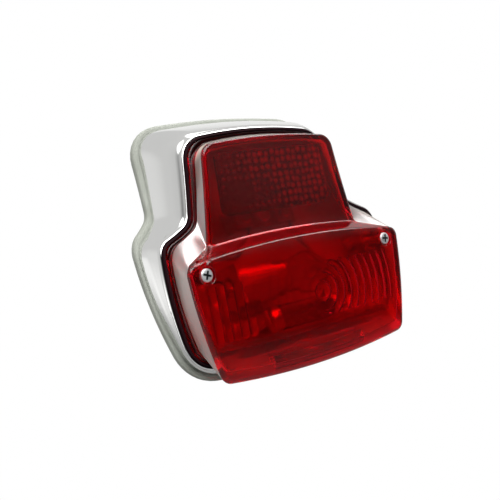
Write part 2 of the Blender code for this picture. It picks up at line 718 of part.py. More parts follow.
def festoon_clip(side, tag, foot):
    """Spring-brass blade that holds one end of the festoon bulb in a hole."""
    near, far, thick = 20.3, 31.5, 0.6
    top = FESTOON_AHEAD + 4.5
    side_view = ((near, foot), (near, top), (near + thick, top), (near + thick, foot + thick),
                 (far, foot + thick), (far, foot))
    piece = prism(f"festoon_clip_{tag}", [[seat(side * x, FESTOON_UP + w, v) for x, v in side_view]
                                          for w in (-2.2, 3.8)], BRASS)
    drill(piece, seat(side * near, FESTOON_UP, FESTOON_AHEAD), RIGHT, 1.6, 3, 16)
    drill(piece, seat(side * 28.5, FESTOON_UP + 1.5, foot), AHEAD, 1.6, 2, 12)


# ---- terminals, leads and cable inlet ----
def terminals():
    piece = seat_block("terminal_block", (-BLOCK_HALF, BLOCK_HALF), (BLOCK_UP - 5, BLOCK_UP + 5),
                       (PLATE_FRONT + GAP, BLOCK_TOP), BOARD)
    drill(piece, seat(0, BLOCK_UP, BLOCK_TOP), AHEAD, 1.9, 8, 12)
    turned("block_screw", [(1.5, 0.4), (1.5, BLOCK_TOP + GAP), (3.0, BLOCK_TOP + GAP), (3.0, BLOCK_TOP + 1.6),
                           (2.2, BLOCK_TOP + 2.1)], ZINC, frame_at(seat(0, BLOCK_UP, 0), AHEAD), 16)
    for side, tag in ((-1, "left"), (1, "right")):
        x = side * TERMINAL_X
        drill(piece, seat(x, BLOCK_UP, BLOCK_TOP), AHEAD, 1.8, 4, 12)
        strip = seat_block(f"terminal_strip_{tag}", (x - 4, x + 4), (BLOCK_UP - 4, BLOCK_UP + 4),
                           (BLOCK_TOP + GAP, BLOCK_TOP + GAP + 0.8), BRASS)
        drill(strip, seat(x, BLOCK_UP, BLOCK_TOP), AHEAD, 1.8, 4, 12)
        head = BLOCK_TOP + 2 * GAP + 0.8
        turned(f"terminal_screw_{tag}", [(1.1, head - 4.2), (1.4, head - 3.8), (1.4, head), (2.9, head),
                                         (2.9, head + 1.4), (2.3, head + 1.8)],
               BRASS, frame_at(seat(x, BLOCK_UP, 0), AHEAD), 16)


def leads():
    """Short leads from the terminals to the stop contact's tail and to a festoon clip."""
    top = BLOCK_TOP + 0.8 + 2 * GAP + 0.9
    beside = 1.1 + 0.9 + GAP
    stop = [seat(x, up, v) for x, up, v in (
        (-TERMINAL_X, BLOCK_UP - 5.0, top), (-TERMINAL_X - 2, BLOCK_UP - 9, top - 1), (-20, -10, 8.5),
        (-31, -9, 9), (-36, -13, 11.5), (-37.5, -18, 13), (-36.8, STOP_UP + beside + 1, STOP_AHEAD),
        (-34, STOP_UP + beside, STOP_AHEAD))]
    rod("stop_lead", smooth_route(stop, 5), 0.9, SLEEVE)
    tail = [seat(x, up, v) for x, up, v in (
        (TERMINAL_X, BLOCK_UP - 5.0, top), (TERMINAL_X + 2, BLOCK_UP - 9, top - 2), (20, -12, 6.5),
        (28, -22, 5), (30, -31, 5.4), (29.5, FESTOON_UP + 5.2, 6.4))]
    rod("tail_lead", smooth_route(tail, 5), 0.9, SLEEVE)


def cable_grommet():
    bore, neck, flange, back, front = 4.0, 5.4, 7.2, -0.6, PLATE_FRONT + 2.2
    profile = [(bore, back), (flange, back), (flange, PLATE_BACK - GAP), (neck, PLATE_BACK - GAP),
               (neck, PLATE_FRONT + GAP), (flange, PLATE_FRONT + GAP), (flange - 0.8, front), (bore, front)]
    turned("cable_grommet", profile, BLACK_RUBBER, frame_at(seat(GROMMET_X, GROMMET_UP, 0), AHEAD), 24, ring=True)


def build_all():
    for old in list(bpy.data.objects):
        bpy.data.objects.remove(old, do_unlink=True)
    rear_gasket()
    housing()
    lens_gasket()
    lens()
    plate_window()
    reflex_reflector()
    base_plate()
    for side, tag in ((-1, "left"), (1, "right")):
        lens_screw(side, tag)
        pillar(side, tag)
        stud(side, tag)
        stud_fixings(side, tag)
    socket_bracket()
    socket_shell()
    stop_bulb()
    stop_contact()
    festoon_lamp()
    terminals()
    leads()
    cable_grommet()


build_all()
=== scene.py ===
"""Looks of the scooter tail light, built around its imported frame.

Millimetres are measured from the lower lens face (y) and its upper edge (z), as in the part's own source.
"""
import json
import math
from collections import namedtuple

import bmesh
import bpy
from mathutils import Matrix, Vector
from mathutils.geometry import delaunay_2d_cdt

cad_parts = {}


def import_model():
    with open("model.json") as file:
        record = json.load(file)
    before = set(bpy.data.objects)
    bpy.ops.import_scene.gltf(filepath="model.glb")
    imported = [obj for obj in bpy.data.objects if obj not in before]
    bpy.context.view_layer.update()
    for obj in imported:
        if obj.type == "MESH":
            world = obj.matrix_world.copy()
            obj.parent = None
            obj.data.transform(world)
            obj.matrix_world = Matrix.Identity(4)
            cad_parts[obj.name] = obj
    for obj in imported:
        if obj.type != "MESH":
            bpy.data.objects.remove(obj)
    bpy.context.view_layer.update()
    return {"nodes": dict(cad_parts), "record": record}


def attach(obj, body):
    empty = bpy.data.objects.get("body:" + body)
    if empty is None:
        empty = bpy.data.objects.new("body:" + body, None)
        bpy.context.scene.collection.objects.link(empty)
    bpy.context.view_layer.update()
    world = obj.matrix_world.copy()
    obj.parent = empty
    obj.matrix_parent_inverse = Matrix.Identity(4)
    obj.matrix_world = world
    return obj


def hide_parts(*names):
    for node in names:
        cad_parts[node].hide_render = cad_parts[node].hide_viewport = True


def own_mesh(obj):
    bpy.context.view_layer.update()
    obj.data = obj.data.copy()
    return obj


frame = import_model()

MM = 0.001
GAP = 0.3                    # clearance between pieces that touch

# ---- driving dimensions, in millimetres ----
Plane = namedtuple("Plane", "depth slope")
RIM = Plane(14.6, 0.10)      # front edge of the housing
REAR = Plane(26.6, 0.265)    # rear edge of the housing
MOUNT = Plane(30.0, 0.265)   # rear face of the gasket, on the bodywork
FLANGE = Plane(13.2, 0.10)   # front of the lens's flange
CENTRE_Z = 8.0

# Half width and height of the four corners, then the bows of the edges and the radii of the corners.
Outline = namedtuple("Outline", "top_half top_z waist_half waist_z shoulder_half shoulder_z foot_half foot_z "
                                "top_rise shoulder_bow flank_bow foot_drop top_r waist_r shoulder_r foot_r")
LENS_FACE = Outline(34.3, 47.0, 40.0, 6.7, 56.0, 0.3, 48.6, -45.0,
                    2.2, 0.0, 1.4, 3.2, 6.5, 2.0, 5.0, 5.0)
LENS_FOOT = Outline(33.1, 47.8, 40.4, 15.4, 53.1, 8.2, 51.0, -35.8,
                    3.0, -0.4, 2.1, 3.4, 10.6, 6.8, 8.4, 8.0)
RIM_EDGE = Outline(37.2, 51.7, 43.1, 18.0, 57.5, 11.0, 55.0, -39.1,
                   3.3, -0.4, 2.2, 4.2, 12.2, 7.2, 7.7, 13.3)
REAR_EDGE = Outline(45.9, 59.9, 49.8, 22.0, 60.3, 12.2, 52.8, -42.2,
                    3.4, -0.5, 3.3, 4.6, 13.9, 6.9, 10.8, 16.5)
GASKET_EDGE = Outline(48.8, 61.2, 50.8, 23.1, 61.2, 13.9, 54.4, -44.0,
                      3.4, -0.5, 2.7, 4.6, 17.2, 7.9, 11.6, 17.5)
WALL_FOOT = LENS_FOOT._replace(shoulder_half=54.4, foot_half=51.3)
INNER_FACE = LENS_FACE._replace(foot_z=LENS_FACE.foot_z + 2.0)
INNER_FOOT = LENS_FOOT._replace(foot_z=LENS_FOOT.foot_z + 3.0)

SIDE_BOW = -0.4
SETBACK = 8.9                # the upper lens face lies this far behind the lower one
RIDGE_Z, RIDGE_RISE = 0.3, 4.2
SHELF_RUN = 4.3              # height of the sloping shelf between the two faces
LENS_WALL = 2.3
SHELL = 1.5                  # wall of the housing
FLARE = 1.4                  # how soon the housing widens behind its rim
REAR_DRAFT = 0.8             # the plated shell closes in a little before the gasket
PLATE_FRONT, PLATE_BACK = 2.4, 1.4
SCREW_X, SCREW_Z = 47.8, -3.5
STUD_X, STUD_UP = 27.0, 20.0
STOP_UP, STOP_AHEAD = -23.5, 13.2
SOCKET_BACK = -30.0
PIN_X, BULB_BACK = -17.0, -22.0
FESTOON_UP, FESTOON_AHEAD = -39.6, 12.4
BLOCK_UP, BLOCK_TOP, TERMINAL_X = 6.0, 9.0, 11.0
GROMMET_UP = 22.0
CELL, CELL_DEPTH = 3.0, 1.3  # pitch and depth of the reflector's prisms
CROSS_TURN = {"left": 20, "right": 8}    # how far each lens screw's cross is turned, in degrees

EDGE_STEPS = (16, 12, 7, 18, 18)         # segments along top, side, shoulder, flank and foot
CORNER_STEPS = 8
SIDES = ((-1, "left"), (1, "right"))

DATUM = Vector((0.0, MOUNT.depth + MOUNT.slope * CENTRE_Z, CENTRE_Z))
TILT = math.atan(MOUNT.slope)


# ---- places ----
def world(x, y, z):
    """Place in the frame, in metres, of a point in the lamp's drawing."""
    return (Vector((x, y, z)) - DATUM) * MM


def seat(x, up, ahead):
    """Place measured on the sloping bodywork: across it, up it and out from it."""
    c, s = math.cos(TILT), math.sin(TILT)
    return Vector((x, s * up - c * ahead, c * up + s * ahead)) * MM


def frame_at(origin, forward):
    return Matrix.Translation(origin) @ forward.normalized().to_track_quat("Z", "Y").to_matrix().to_4x4()


AHEAD = seat(0, 0, 1).normalized()
UPWARD = seat(0, 1, 0).normalized()
RIGHT = Vector((1, 0, 0))
BACK = Vector((0, 1, 0))


# ---- outlines ----
def mix(first, second, t):
    return Outline(*(p + (q - p) * t for p, q in zip(first, second)))


def arched(start, end, height, rise):
    half = max(abs(start), abs(end))

    def point(u):
        x = start + (end - start) * u
        return Vector((x, height + rise * (1 - (x / half) ** 2)))
    return point


def bowed(start, end, bow):
    start, end = Vector(start), Vector(end)
    run = end - start
    outward = Vector((run.y, -run.x)).normalized()
    return lambda u: start + run * u + outward * (4 * bow * u * (1 - u))


def half_outline(o):
    """Points of the left half, from top centre to bottom centre."""
    edges = [
        arched(0, -o.top_half, o.top_z, o.top_rise),
        bowed((-o.top_half, o.top_z), (-o.waist_half, o.waist_z), SIDE_BOW),
        bowed((-o.waist_half, o.waist_z), (-o.shoulder_half, o.shoulder_z), o.shoulder_bow),
        bowed((-o.shoulder_half, o.shoulder_z), (-o.foot_half, o.foot_z), o.flank_bow),
        arched(-o.foot_half, 0, o.foot_z, -o.foot_drop),
    ]
    lengths = [(edge(1) - edge(0)).length for edge in edges]
    first, last = [0.0] * 5, [1.0] * 5
    turns = []
    for i, radius in enumerate((o.top_r, o.waist_r, o.shoulder_r, o.foot_r)):
        turn = (edges[i](1) - edges[i](0.95)).angle(edges[i + 1](0.05) - edges[i + 1](0))
        trim = radius * math.tan(turn / 2)
        last[i] = 1 - trim / lengths[i]
        first[i + 1] = trim / lengths[i + 1]
        turns.append(turn)
    points = []
    for i, edge in enumerate(edges):
        steps = EDGE_STEPS[i]
        points += [edge(first[i] + (last[i] - first[i]) * k / steps) for k in range(steps + 1)]
        if i < len(turns):
            start, tip, end = edge(last[i]), edge(1), edges[i + 1](first[i + 1])
            weight = math.cos(turns[i] / 2)
            for k in range(1, CORNER_STEPS):
                t = k / CORNER_STEPS
                a, b, c = (1 - t) ** 2, 2 * weight * t * (1 - t), t ** 2
                points.append((start * a + tip * b + end * c) / (a + b + c))
    return points


def flat_loop(outline, distance=0.0):
    """The closed outline, moved inwards by distance."""
    left = half_outline(outline)
    points = left + [Vector((-p.x, p.y)) for p in reversed(left[1:-1])]
    count = len(points)
    moved = []
    for i, p in enumerate(points):
        run = (points[(i + 1) % count] - points[i - 1]).normalized()
        moved.append(p + Vector((-run.y, run.x)) * distance)
    return moved


def loop(outline, plane, distance=0.0, behind=0.0):
    return [world(p.x, plane.depth + plane.slope * p.y + behind, p.y) for p in flat_loop(outline, distance)]


def ramp(value, low, high):
    """Smooth step from 0 at low to 1 at high."""
    t = min(1.0, max(0.0, (value - low) / (high - low)))
    return t * t * (3 - 2 * t)


# ---- mesh helpers ----
def loose(name, data):
    piece = bpy.data.objects.new(name, data)
    bpy.context.collection.objects.link(piece)
    return piece


def new_piece(name, mesh, body, slot, nodes=(), angle=35):
    """Piece of the visual model: it rides on a body, wears its slot's look and stands for the nodes."""
    piece = loose(name, mesh)
    mesh.materials.append(LOOKS[slot])
    mesh.shade_smooth()
    mesh.set_sharp_from_angle(angle=math.radians(angle))
    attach(piece, body)
    if nodes:
        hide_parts(*nodes)
    return piece


def mesh_of(name, build, matrix=None):
    bm = bmesh.new()
    build(bm)
    bmesh.ops.recalc_face_normals(bm, faces=bm.faces)
    if matrix is not None:
        bm.transform(matrix)
    mesh = bpy.data.meshes.new(name)
    bm.to_mesh(mesh)
    bm.free()
    return mesh


def bridge(bm, loops, ring=False):
    """Joins each loop of points to the next with four-sided faces, and returns the rows of vertices."""
    rows = [[bm.verts.new(p) for p in points] for points in loops]
    pairs = list(zip(rows, rows[1:]))
    if ring:
        pairs.append((rows[-1], rows[0]))
    for lower, upper in pairs:
        for i in range(len(lower)):
            bm.faces.new((lower[i - 1], lower[i], upper[i], upper[i - 1]))
    return rows


def capped(bm, loops):
    """Bridges the loops and closes both ends."""
    rows = bridge(bm, loops)
    bm.faces.new(rows[0])
    bm.faces.new(rows[-1])
    return rows


def ring_mesh(name, loops):
    return mesh_of(name, lambda bm: bridge(bm, loops, ring=True))


def circle(radius, height, segments):
    return [Vector((radius * math.cos(a), radius * math.sin(a), height)) * MM
            for a in (2 * math.pi * i / segments for i in range(segments))]


def turned_mesh(name, profile, matrix, segments=48, ring=False):
    """Solid of revolution about local +Z from (radius, height) pairs."""
    rows = [circle(r, h, segments) for r, h in profile]
    return mesh_of(name, lambda bm: bridge(bm, rows, ring=True) if ring else capped(bm, rows), matrix)


def threaded_rows(radius, depth, start, end, pitch, segments):
    """Rows of a screw thread whose crest winds along local +Z."""
    steps = round((end - start) / pitch * 4)
    rows = []
    for k in range(steps + 1):
        h = start + (end - start) * k / steps
        fade = min(1.0, k / 4, (steps - k) / 4)
        row = []
        for i in range(segments):
            phase = (h / pitch - i / segments) % 1.0
            r = radius - depth * fade * (1 - abs(2 * phase - 1))
            a = 2 * math.pi * i / segments
            row.append(Vector((r * math.cos(a), r * math.sin(a), h)) * MM)
        rows.append(row)
    return rows


def cut(piece, cutters):
    """Takes the cutters out of the piece for good, and deletes them."""
    for tool in cutters:
        step = piece.modifiers.new("cut", "BOOLEAN")
        step.operation = "DIFFERENCE"
        step.object = tool
        step.solver = "EXACT"
    graph = bpy.context.evaluated_depsgraph_get()
    mesh = bpy.data.meshes.new_from_object(piece.evaluated_get(graph))
    piece.modifiers.clear()
    piece.data = mesh
    for tool in cutters:
        bpy.data.objects.remove(tool, do_unlink=True)


def soften(piece, width, segments=3):
    step = piece.modifiers.new("soft_edges", "BEVEL")
    step.width = width * MM
    step.segments = segments
    step.limit_method = "ANGLE"
    step.angle_limit = math.radians(38)
    step.use_clamp_overlap = True
    step.harden_normals = False


# ---- materials ----
class Surface:
    """A node material with a few shorthand ways to drive its Principled shader."""

    def __init__(self, name, **values):
        self.material = bpy.data.materials.new(name)
        self.material.use_nodes = True
        self.nodes = self.material.node_tree.nodes
        self.links = self.material.node_tree.links
        self.shader = self.nodes["Principled BSDF"]
        for socket, value in values.items():
            self.shader.inputs[socket.replace("_", " ")].default_value = value
        self.place = self.nodes.new("ShaderNodeTexCoord").outputs["Object"]

    def noise(self, scale, detail=3.0, stretch=None, distortion=0.0):
        place = self.place
        if stretch:
            mapping = self.nodes.new("ShaderNodeMapping")
            mapping.inputs["Scale"].default_value = stretch
            self.links.new(place, mapping.inputs["Vector"])
            place = mapping.outputs["Vector"]
        node = self.nodes.new("ShaderNodeTexNoise")
        node.inputs["Scale"].default_value = scale
        node.inputs["Detail"].default_value = detail
        node.inputs["Distortion"].default_value = distortion
        self.links.new(place, node.inputs["Vector"])
        return node.outputs["Fac"]

    def map_range(self, value, low, high, source=(0.3, 0.7)):
        node = self.nodes.new("ShaderNodeMapRange")
        for socket, number in zip(("From Min", "From Max", "To Min", "To Max"), (*source, low, high)):
            node.inputs[socket].default_value = number
        self.links.new(value, node.inputs["Value"])
        return node.outputs["Result"]

    def colours(self, value, first, second):
        node = self.nodes.new("ShaderNodeMix")
        node.data_type = "RGBA"
        node.inputs["A"].default_value = (*first, 1.0)
        node.inputs["B"].default_value = (*second, 1.0)
        self.links.new(value, node.inputs["Factor"])
        self.links.new(node.outputs["Result"], self.shader.inputs["Base Color"])

    def roughness(self, value, low, high):
        self.links.new(self.map_range(value, low, high), self.shader.inputs["Roughness"])

    def bump(self, value, strength, distance):
        node = self.nodes.new("ShaderNodeBump")
        node.inputs["Strength"].default_value = strength
        node.inputs["Distance"].default_value = distance
        self.links.new(value, node.inputs["Height"])
        self.links.new(node.outputs["Normal"], self.shader.inputs["Normal"])


def chrome():
    made = Surface("chrome_plating", Metallic=1.0)
    made.colours(made.noise(60), (0.86, 0.87, 0.87), (0.93, 0.93, 0.92))
    made.roughness(made.noise(240, 5.0), 0.06, 0.12)
    made.bump(made.noise(320, 2.0), 0.05, 0.0004)
    return made.material


def zinc(name, tint, matt=0.24):
    made = Surface(name, Metallic=1.0)
    made.colours(made.map_range(made.noise(130, 4.0, distortion=0.6), 0.0, 1.0), tint,
                 tuple(c * 0.78 for c in tint))
    made.roughness(made.noise(700, 4.0), matt, matt + 0.2)
    made.bump(made.noise(2200, 3.0, (1.0, 0.25, 1.0)), 0.16, 0.0002)
    return made.material


def brass():
    made = Surface("bright_brass", Metallic=1.0)
    made.colours(made.map_range(made.noise(210, 4.0), 0.0, 1.0), (0.72, 0.53, 0.25), (0.52, 0.34, 0.14))
    made.roughness(made.noise(500, 3.0), 0.28, 0.48)
    made.bump(made.noise(1500, 3.0), 0.10, 0.0002)
    return made.material


def red_plastic(name, colour, depth, haze, matt=0.015):
    """Transparent moulded red, darker in patches; haze is the share of light that it scatters."""
    made = Surface(name, Transmission_Weight=1.0 - haze, IOR=1.49, Specular_IOR_Level=0.14)
    made.colours(made.map_range(made.noise(45, 2.0), 0.0, 1.0), colour, tuple(c * depth for c in colour))
    made.roughness(made.noise(900, 4.0), matt, matt + 0.03)
    made.bump(made.noise(150, 2.0), 0.05, 0.0006)
    return made.material


def satin_side():
    """Side walls of the lens: red under a bright satin surface that looks warm at a low angle."""
    material = red_plastic("red_lens_satin_side", (0.72, 0.004, 0.008), 0.90, 0.02)
    shader = material.node_tree.nodes["Principled BSDF"]
    for socket, value in (("Coat Weight", 1.0), ("Coat IOR", 3.6), ("Coat Roughness", 0.36),
                          ("Sheen Weight", 1.0), ("Sheen Roughness", 0.4),
                          ("Sheen Tint", (1.0, 0.85, 0.72, 1.0))):
        shader.inputs[socket].default_value = value
    return material


def reflector_red():
    """Dark red of a reflex reflector, with a painted glint of its prisms in its colour: each cell is bright
    near its centre, and stronger towards the upper right as painted light.
    """
    made = Surface("red_reflector", Transmission_Weight=0.35, IOR=1.49)
    new, link = made.nodes.new, made.links.new
    cells = new("ShaderNodeTexVoronoi")
    cells.inputs["Scale"].default_value = 1 / (CELL * MM)
    cells.inputs["Randomness"].default_value = 0.35
    link(made.place, cells.inputs["Vector"])
    # painted glint: the colour is bright red near each cell's centre and dark between, standing in for light
    # off the prisms
    painted_glint = new("ShaderNodeMath")
    painted_glint.operation = "MULTIPLY"
    link(made.map_range(cells.outputs["Distance"], 1.0, 0.0, (0.15, 0.55)), painted_glint.inputs[0])
    # painted light: the glint grows stronger towards the panel's upper right, as if lit from there
    painted_light_slope = new("ShaderNodeVectorMath")
    painted_light_slope.operation = "DOT_PRODUCT"
    painted_light_slope.inputs[1].default_value = (12.0, 0.0, 14.0)
    link(made.place, painted_light_slope.inputs[0])
    patches = new("ShaderNodeMath")
    patches.operation = "ADD"
    link(painted_light_slope.outputs["Value"], patches.inputs[0])
    link(made.noise(60, 2.0), patches.inputs[1])
    link(made.map_range(patches.outputs["Value"], 0.12, 1.0, (0.5, 1.25)), painted_glint.inputs[1])
    made.colours(painted_glint.outputs["Value"], (0.06, 0.010, 0.012), (0.52, 0.012, 0.02))
    made.roughness(made.noise(900, 3.0), 0.05, 0.12)
    made.bump(cells.outputs["Distance"], 0.35, 0.0006)
    return made.material


def clear_plastic(name, tint):
    made = Surface(name, Transmission_Weight=0.95, IOR=1.49)
    made.colours(made.noise(60), tint, tuple(c * 0.97 for c in tint))
    made.roughness(made.noise(700, 3.0), 0.03, 0.09)
    made.bump(made.noise(200, 2.0), 0.04, 0.0004)
    return made.material


def bulb_glass():
    made = Surface("blown_glass", Transmission_Weight=1.0, IOR=1.12)
    made.colours(made.noise(90), (0.98, 0.99, 0.99), (0.95, 0.97, 0.97))
    made.roughness(made.noise(300, 2.0), 0.0, 0.02)
    made.bump(made.noise(120, 2.0), 0.03, 0.0004)
    return made.material


def rubber(name, light, dark, grain, gloss=0.3):
    made = Surface(name, Specular_IOR_Level=gloss)
    made.colours(made.map_range(made.noise(70, 5.0), 0.0, 1.0), light, dark)
    made.roughness(made.noise(400, 4.0), 0.52, 0.78)
    made.bump(made.noise(grain, 4.0), 0.22, 0.0003)
    return made.material


def laminate():
    made = Surface("bonded_paper_board", Specular_IOR_Level=0.4)
    made.colours(made.map_range(made.noise(300, 6.0, (0.3, 1.0, 1.0), 0.8), 0.0, 1.0),
                 (0.34, 0.15, 0.055), (0.20, 0.08, 0.03))
    made.roughness(made.noise(900, 4.0), 0.42, 0.62)
    made.bump(made.noise(1800, 4.0, (0.2, 1.0, 1.0)), 0.18, 0.0002)
    return made.material


def wire_metal(name, colour, roughness):
    made = Surface(name, Metallic=1.0)
    made.colours(made.noise(800), colour, tuple(c * 0.8 for c in colour))
    made.roughness(made.noise(1200, 2.0), roughness, roughness + 0.12)
    return made.material


def vinyl():
    made = Surface("vinyl_sleeve", Specular_IOR_Level=0.5)
    made.colours(made.noise(240), (0.022, 0.022, 0.024), (0.038, 0.038, 0.040))
    made.roughness(made.noise(500, 3.0), 0.34, 0.52)
    made.bump(made.noise(900, 3.0), 0.10, 0.0002)
    return made.material


LENS_RED = (0.93, 0.003, 0.014)
LOOKS = {
    "chrome": chrome(),
    "zinc_plate": zinc("zinc_passivated", (0.70, 0.71, 0.70), 0.38),
    "zinc_screw": zinc("zinc_bright", (0.92, 0.94, 0.96), 0.36),
    "brass": brass(),
    "red_lens": red_plastic("red_lens", LENS_RED, 0.94, 0.012),
    "reflector": reflector_red(),
    "clear_window": clear_plastic("clear_window", (0.95, 0.95, 0.93)),
    "bulb_glass": bulb_glass(),
    "grey_rubber": rubber("grey_rubber", (0.33, 0.345, 0.31), (0.27, 0.285, 0.25), 1300),
    "black_rubber": rubber("black_rubber", (0.012, 0.004, 0.006), (0.019, 0.007, 0.009), 1600, 0.03),
    "laminate": laminate(),
    "tungsten": wire_metal("tungsten_wire", (0.45, 0.45, 0.46), 0.3),
    "spring_steel": wire_metal("spring_wire", (0.62, 0.62, 0.64), 0.22),
    "wire_sleeve": vinyl(),
}
LOOKS["spring_brass"] = LOOKS["brass"]
SATIN_SIDE = satin_side()
INSIDE = red_plastic("red_lens_inside", LENS_RED, 0.94, 0.03, 0.22)
# darker copy of the lens red: painted shade on the wall foot and flange, in the gap by the housing rim
SHADED_FLANGE_RED = red_plastic("red_lens_painted_flange_shade", (0.26, 0.002, 0.005), 0.92, 0.02, 0.06)
# near-black zinc: painted shade inside the cross recesses of the lens screws
SHADED_RECESS = zinc("zinc_painted_recess_shade", (0.10, 0.105, 0.11), 0.5)


# ---- lens ----
def ridge_height(x):
    return RIDGE_Z + RIDGE_RISE * (1 - (x / LENS_FACE.shoulder_half) ** 2)


def face_depth(x, z, blend=0.10):
    """How far the lens's front lies behind its lower face: a rounded ridge, a shelf and a rounded waist."""
    t = (z - ridge_height(x)) / SHELF_RUN
    return SETBACK * 0.5 * (math.hypot(t, blend) - math.hypot(t - 1, blend) + 1)


def face_loop(outline, distance, behind):
    return [world(p.x, face_depth(p.x, p.y) + behind, p.y) for p in flat_loop(outline, distance)]


RING_CENTRE = (6.5, -20.0)
RING_BAND = (-30.0, -8.0)        # heights between which the rings and flutes run
RING_LEFT = -29.0                # left of this the rings give way to upright flutes
RING_LIMIT = 41.0                # radius of the last ring
RING_HEIGHT, FLUTE_HEIGHT = 0.75, 0.5
RING_FAINT = 0.3                 # share of their height that the rings keep on the left
OPTIC_PITCH = 4.0
OPTIC_EDGE = 49.0                # half width that the rings and flutes fill
RIB_BAND = (-44.5, -34.5)
RIB_SIDE = (-47.0, 40.0)
RIB_PITCH, RIB_HEIGHT = 3.3, 0.4


def cusps(distance, pitch, height):
    """Rounded ribs that meet in sharp grooves."""
    return height * abs(math.sin(math.pi * distance / pitch))


def within(value, low, high):
    """Mask that is 1 between low and high, with edges a millimetre wide."""
    return ramp(value, low - 0.5, low + 0.5) * (1 - ramp(value, high - 0.5, high + 0.5))


def optics(x, z):
    """Height of the moulded rings, flutes and ribs on the lens's inner face."""
    if z > RING_BAND[0] - 1:
        mask = within(z, *RING_BAND) * (1 - ramp(abs(x), OPTIC_EDGE, OPTIC_EDGE + 1))
        if x < RING_LEFT:
            return mask * cusps(x - RING_LEFT, OPTIC_PITCH, FLUTE_HEIGHT)
        r = math.hypot(x - RING_CENTRE[0], z - RING_CENTRE[1])
        fall = RING_FAINT + (1 - RING_FAINT) * ramp(x, RING_CENTRE[0] - 8, RING_CENTRE[0] + 4)
        return mask * fall * cusps(r, OPTIC_PITCH, RING_HEIGHT) * (1 - ramp(r, RING_LIMIT, RING_LIMIT + 0.6))
    mask = within(z, *RIB_BAND) * within(x, RIB_SIDE[0] + 0.5, RIB_SIDE[1] - 0.5)
    return mask * cusps(z - RIB_BAND[0], RIB_PITCH, RIB_HEIGHT)


def spread(low, high, step):
    count = max(1, round((high - low) / step))
    return [low + (high - low) * k / count for k in range(count + 1)]


def outer_points():
    """Points that follow the ridge and the shelf, close together where the face bends."""
    offsets = [-50, -44, -38, -32, -26, -20, -15, -11, -8, -5.5, -3.6, -2.2, -1.3, -0.8, -0.4, 0, 0.4, 0.8,
               1.3, 2.1, 2.9, 3.4, 3.8, 4.2, 4.6, 5.0, 5.6, 6.6, 8.5, 11, 15, 20, 25, 30, 35, 40, 44]
    return [(x, ridge_height(x) + d) for x in spread(-56, 56, 2.0) for d in offsets]


def inner_points():
    """Points that follow the grooves of the optics, and the ridge."""
    fine = OPTIC_PITCH / 6
    found = []
    for k in range(1, round(RING_LIMIT / fine) + 1):
        r = k * fine
        count = round(2 * math.pi * r)
        for i in range(count):
            a = 2 * math.pi * i / count
            x, z = RING_CENTRE[0] + r * math.cos(a), RING_CENTRE[1] + r * math.sin(a)
            if x > RING_LEFT + 0.2 and RING_BAND[0] + 0.3 < z < RING_BAND[1] - 0.3:
                found.append((x, z))
    found += [(x, z) for x in spread(RING_LEFT - 5 * OPTIC_PITCH, RING_LEFT, fine)
              for z in spread(RING_BAND[0] + 0.6, RING_BAND[1] - 0.6, 1.5)]
    found += [(x, z) for z in spread(RIB_BAND[0], RIB_BAND[0] + 3 * RIB_PITCH, RIB_PITCH / 6)
              for x in spread(-50, 50, 1.4)]
    found += [(x, z) for z in (RING_BAND[0] - 0.6, RING_BAND[0], RING_BAND[1], RING_BAND[1] + 0.6)
              for x in spread(-50, 50, 1.2)]
    found += [(x, ridge_height(x) + d) for x in spread(-52, 52, 2.0)
              for d in (-2.4, -1.3, -0.6, 0, 0.6, 1.4, 2.6, 3.7, 4.3, 4.9, 5.8, 8, 13, 19, 26, 33, 40)]
    return found


def inside(point, polygon):
    x, z = point
    odd = False
    for (ax, az), (bx, bz) in zip(polygon, polygon[1:] + polygon[:1]):
        if (az > z) != (bz > z) and x < (bx - ax) * (z - az) / (bz - az) + ax:
            odd = not odd
    return odd


def near_edge(point, polygon, margin):
    return any((px - point[0]) ** 2 + (pz - point[1]) ** 2 < margin ** 2 for px, pz in polygon)


def sheet_between(bm, rim, holes, scatter, height):
    """Triangles that fill a rim of vertices around holes; height gives y over x and z, in millimetres."""
    def plan(vertex):
        p = vertex.co / MM + DATUM
        return (p.x, p.z)

    loops = [[plan(v) for v in ring] for ring in (rim, *holes)]
    fixed = [v for ring in (rim, *holes) for v in ring]
    points = [Vector(p) for ring in loops for p in ring]
    edges = []
    start = 0
    for ring in loops:
        edges += [(start + i, start + (i + 1) % len(ring)) for i in range(len(ring))]
        start += len(ring)
    outer, gaps = loops[0], loops[1:]
    for p in scatter:
        if inside(p, outer) and not near_edge(p, outer, 0.45):
            if not any(inside(p, gap) or near_edge(p, gap, 0.4) for gap in gaps):
                points.append(Vector(p))
    made, _, faces, origins, _, _ = delaunay_2d_cdt(points, edges, [], 1, 1e-5)
    vertices = []
    for p, origin in zip(made, origins):
        known = [i for i in origin if i < len(fixed)]
        vertices.append(fixed[known[0]] if known else bm.verts.new(world(p.x, height(p.x, p.y), p.y)))
    for face in faces:
        centre = [sum(made[i][k] for i in face) / 3 for k in (0, 1)]
        if not any(inside(centre, gap) for gap in gaps) and len({vertices[i] for i in face}) == 3:
            bm.faces.new([vertices[i] for i in face])


def screw_circle(side, radius, depth, segments=40):
    """Ring about a lens screw's axis; depth is a number or a function of x and z."""
    points = []
    for i in range(segments):
        a = 2 * math.pi * i / segments
        x, z = side * SCREW_X + radius * math.cos(a), SCREW_Z + radius * math.sin(a)
        points.append(world(x, depth(x, z) if callable(depth) else depth, z))
    return points


def paint(bm, rows, index):
    """Gives the faces between the rows another material."""
    among = {v for row in rows for v in row}
    for face in bm.faces:
        if all(v in among for v in face.verts):
            face.material_index = index


# the EDGE slot holds the darker red that paints shade on the flange
SIDE, INNER, EDGE = 1, 2, 3      # material slots of the lens, after the one for its smooth outside


def inner_height(x, z):
    return face_depth(x, z) + LENS_WALL + optics(x, z)


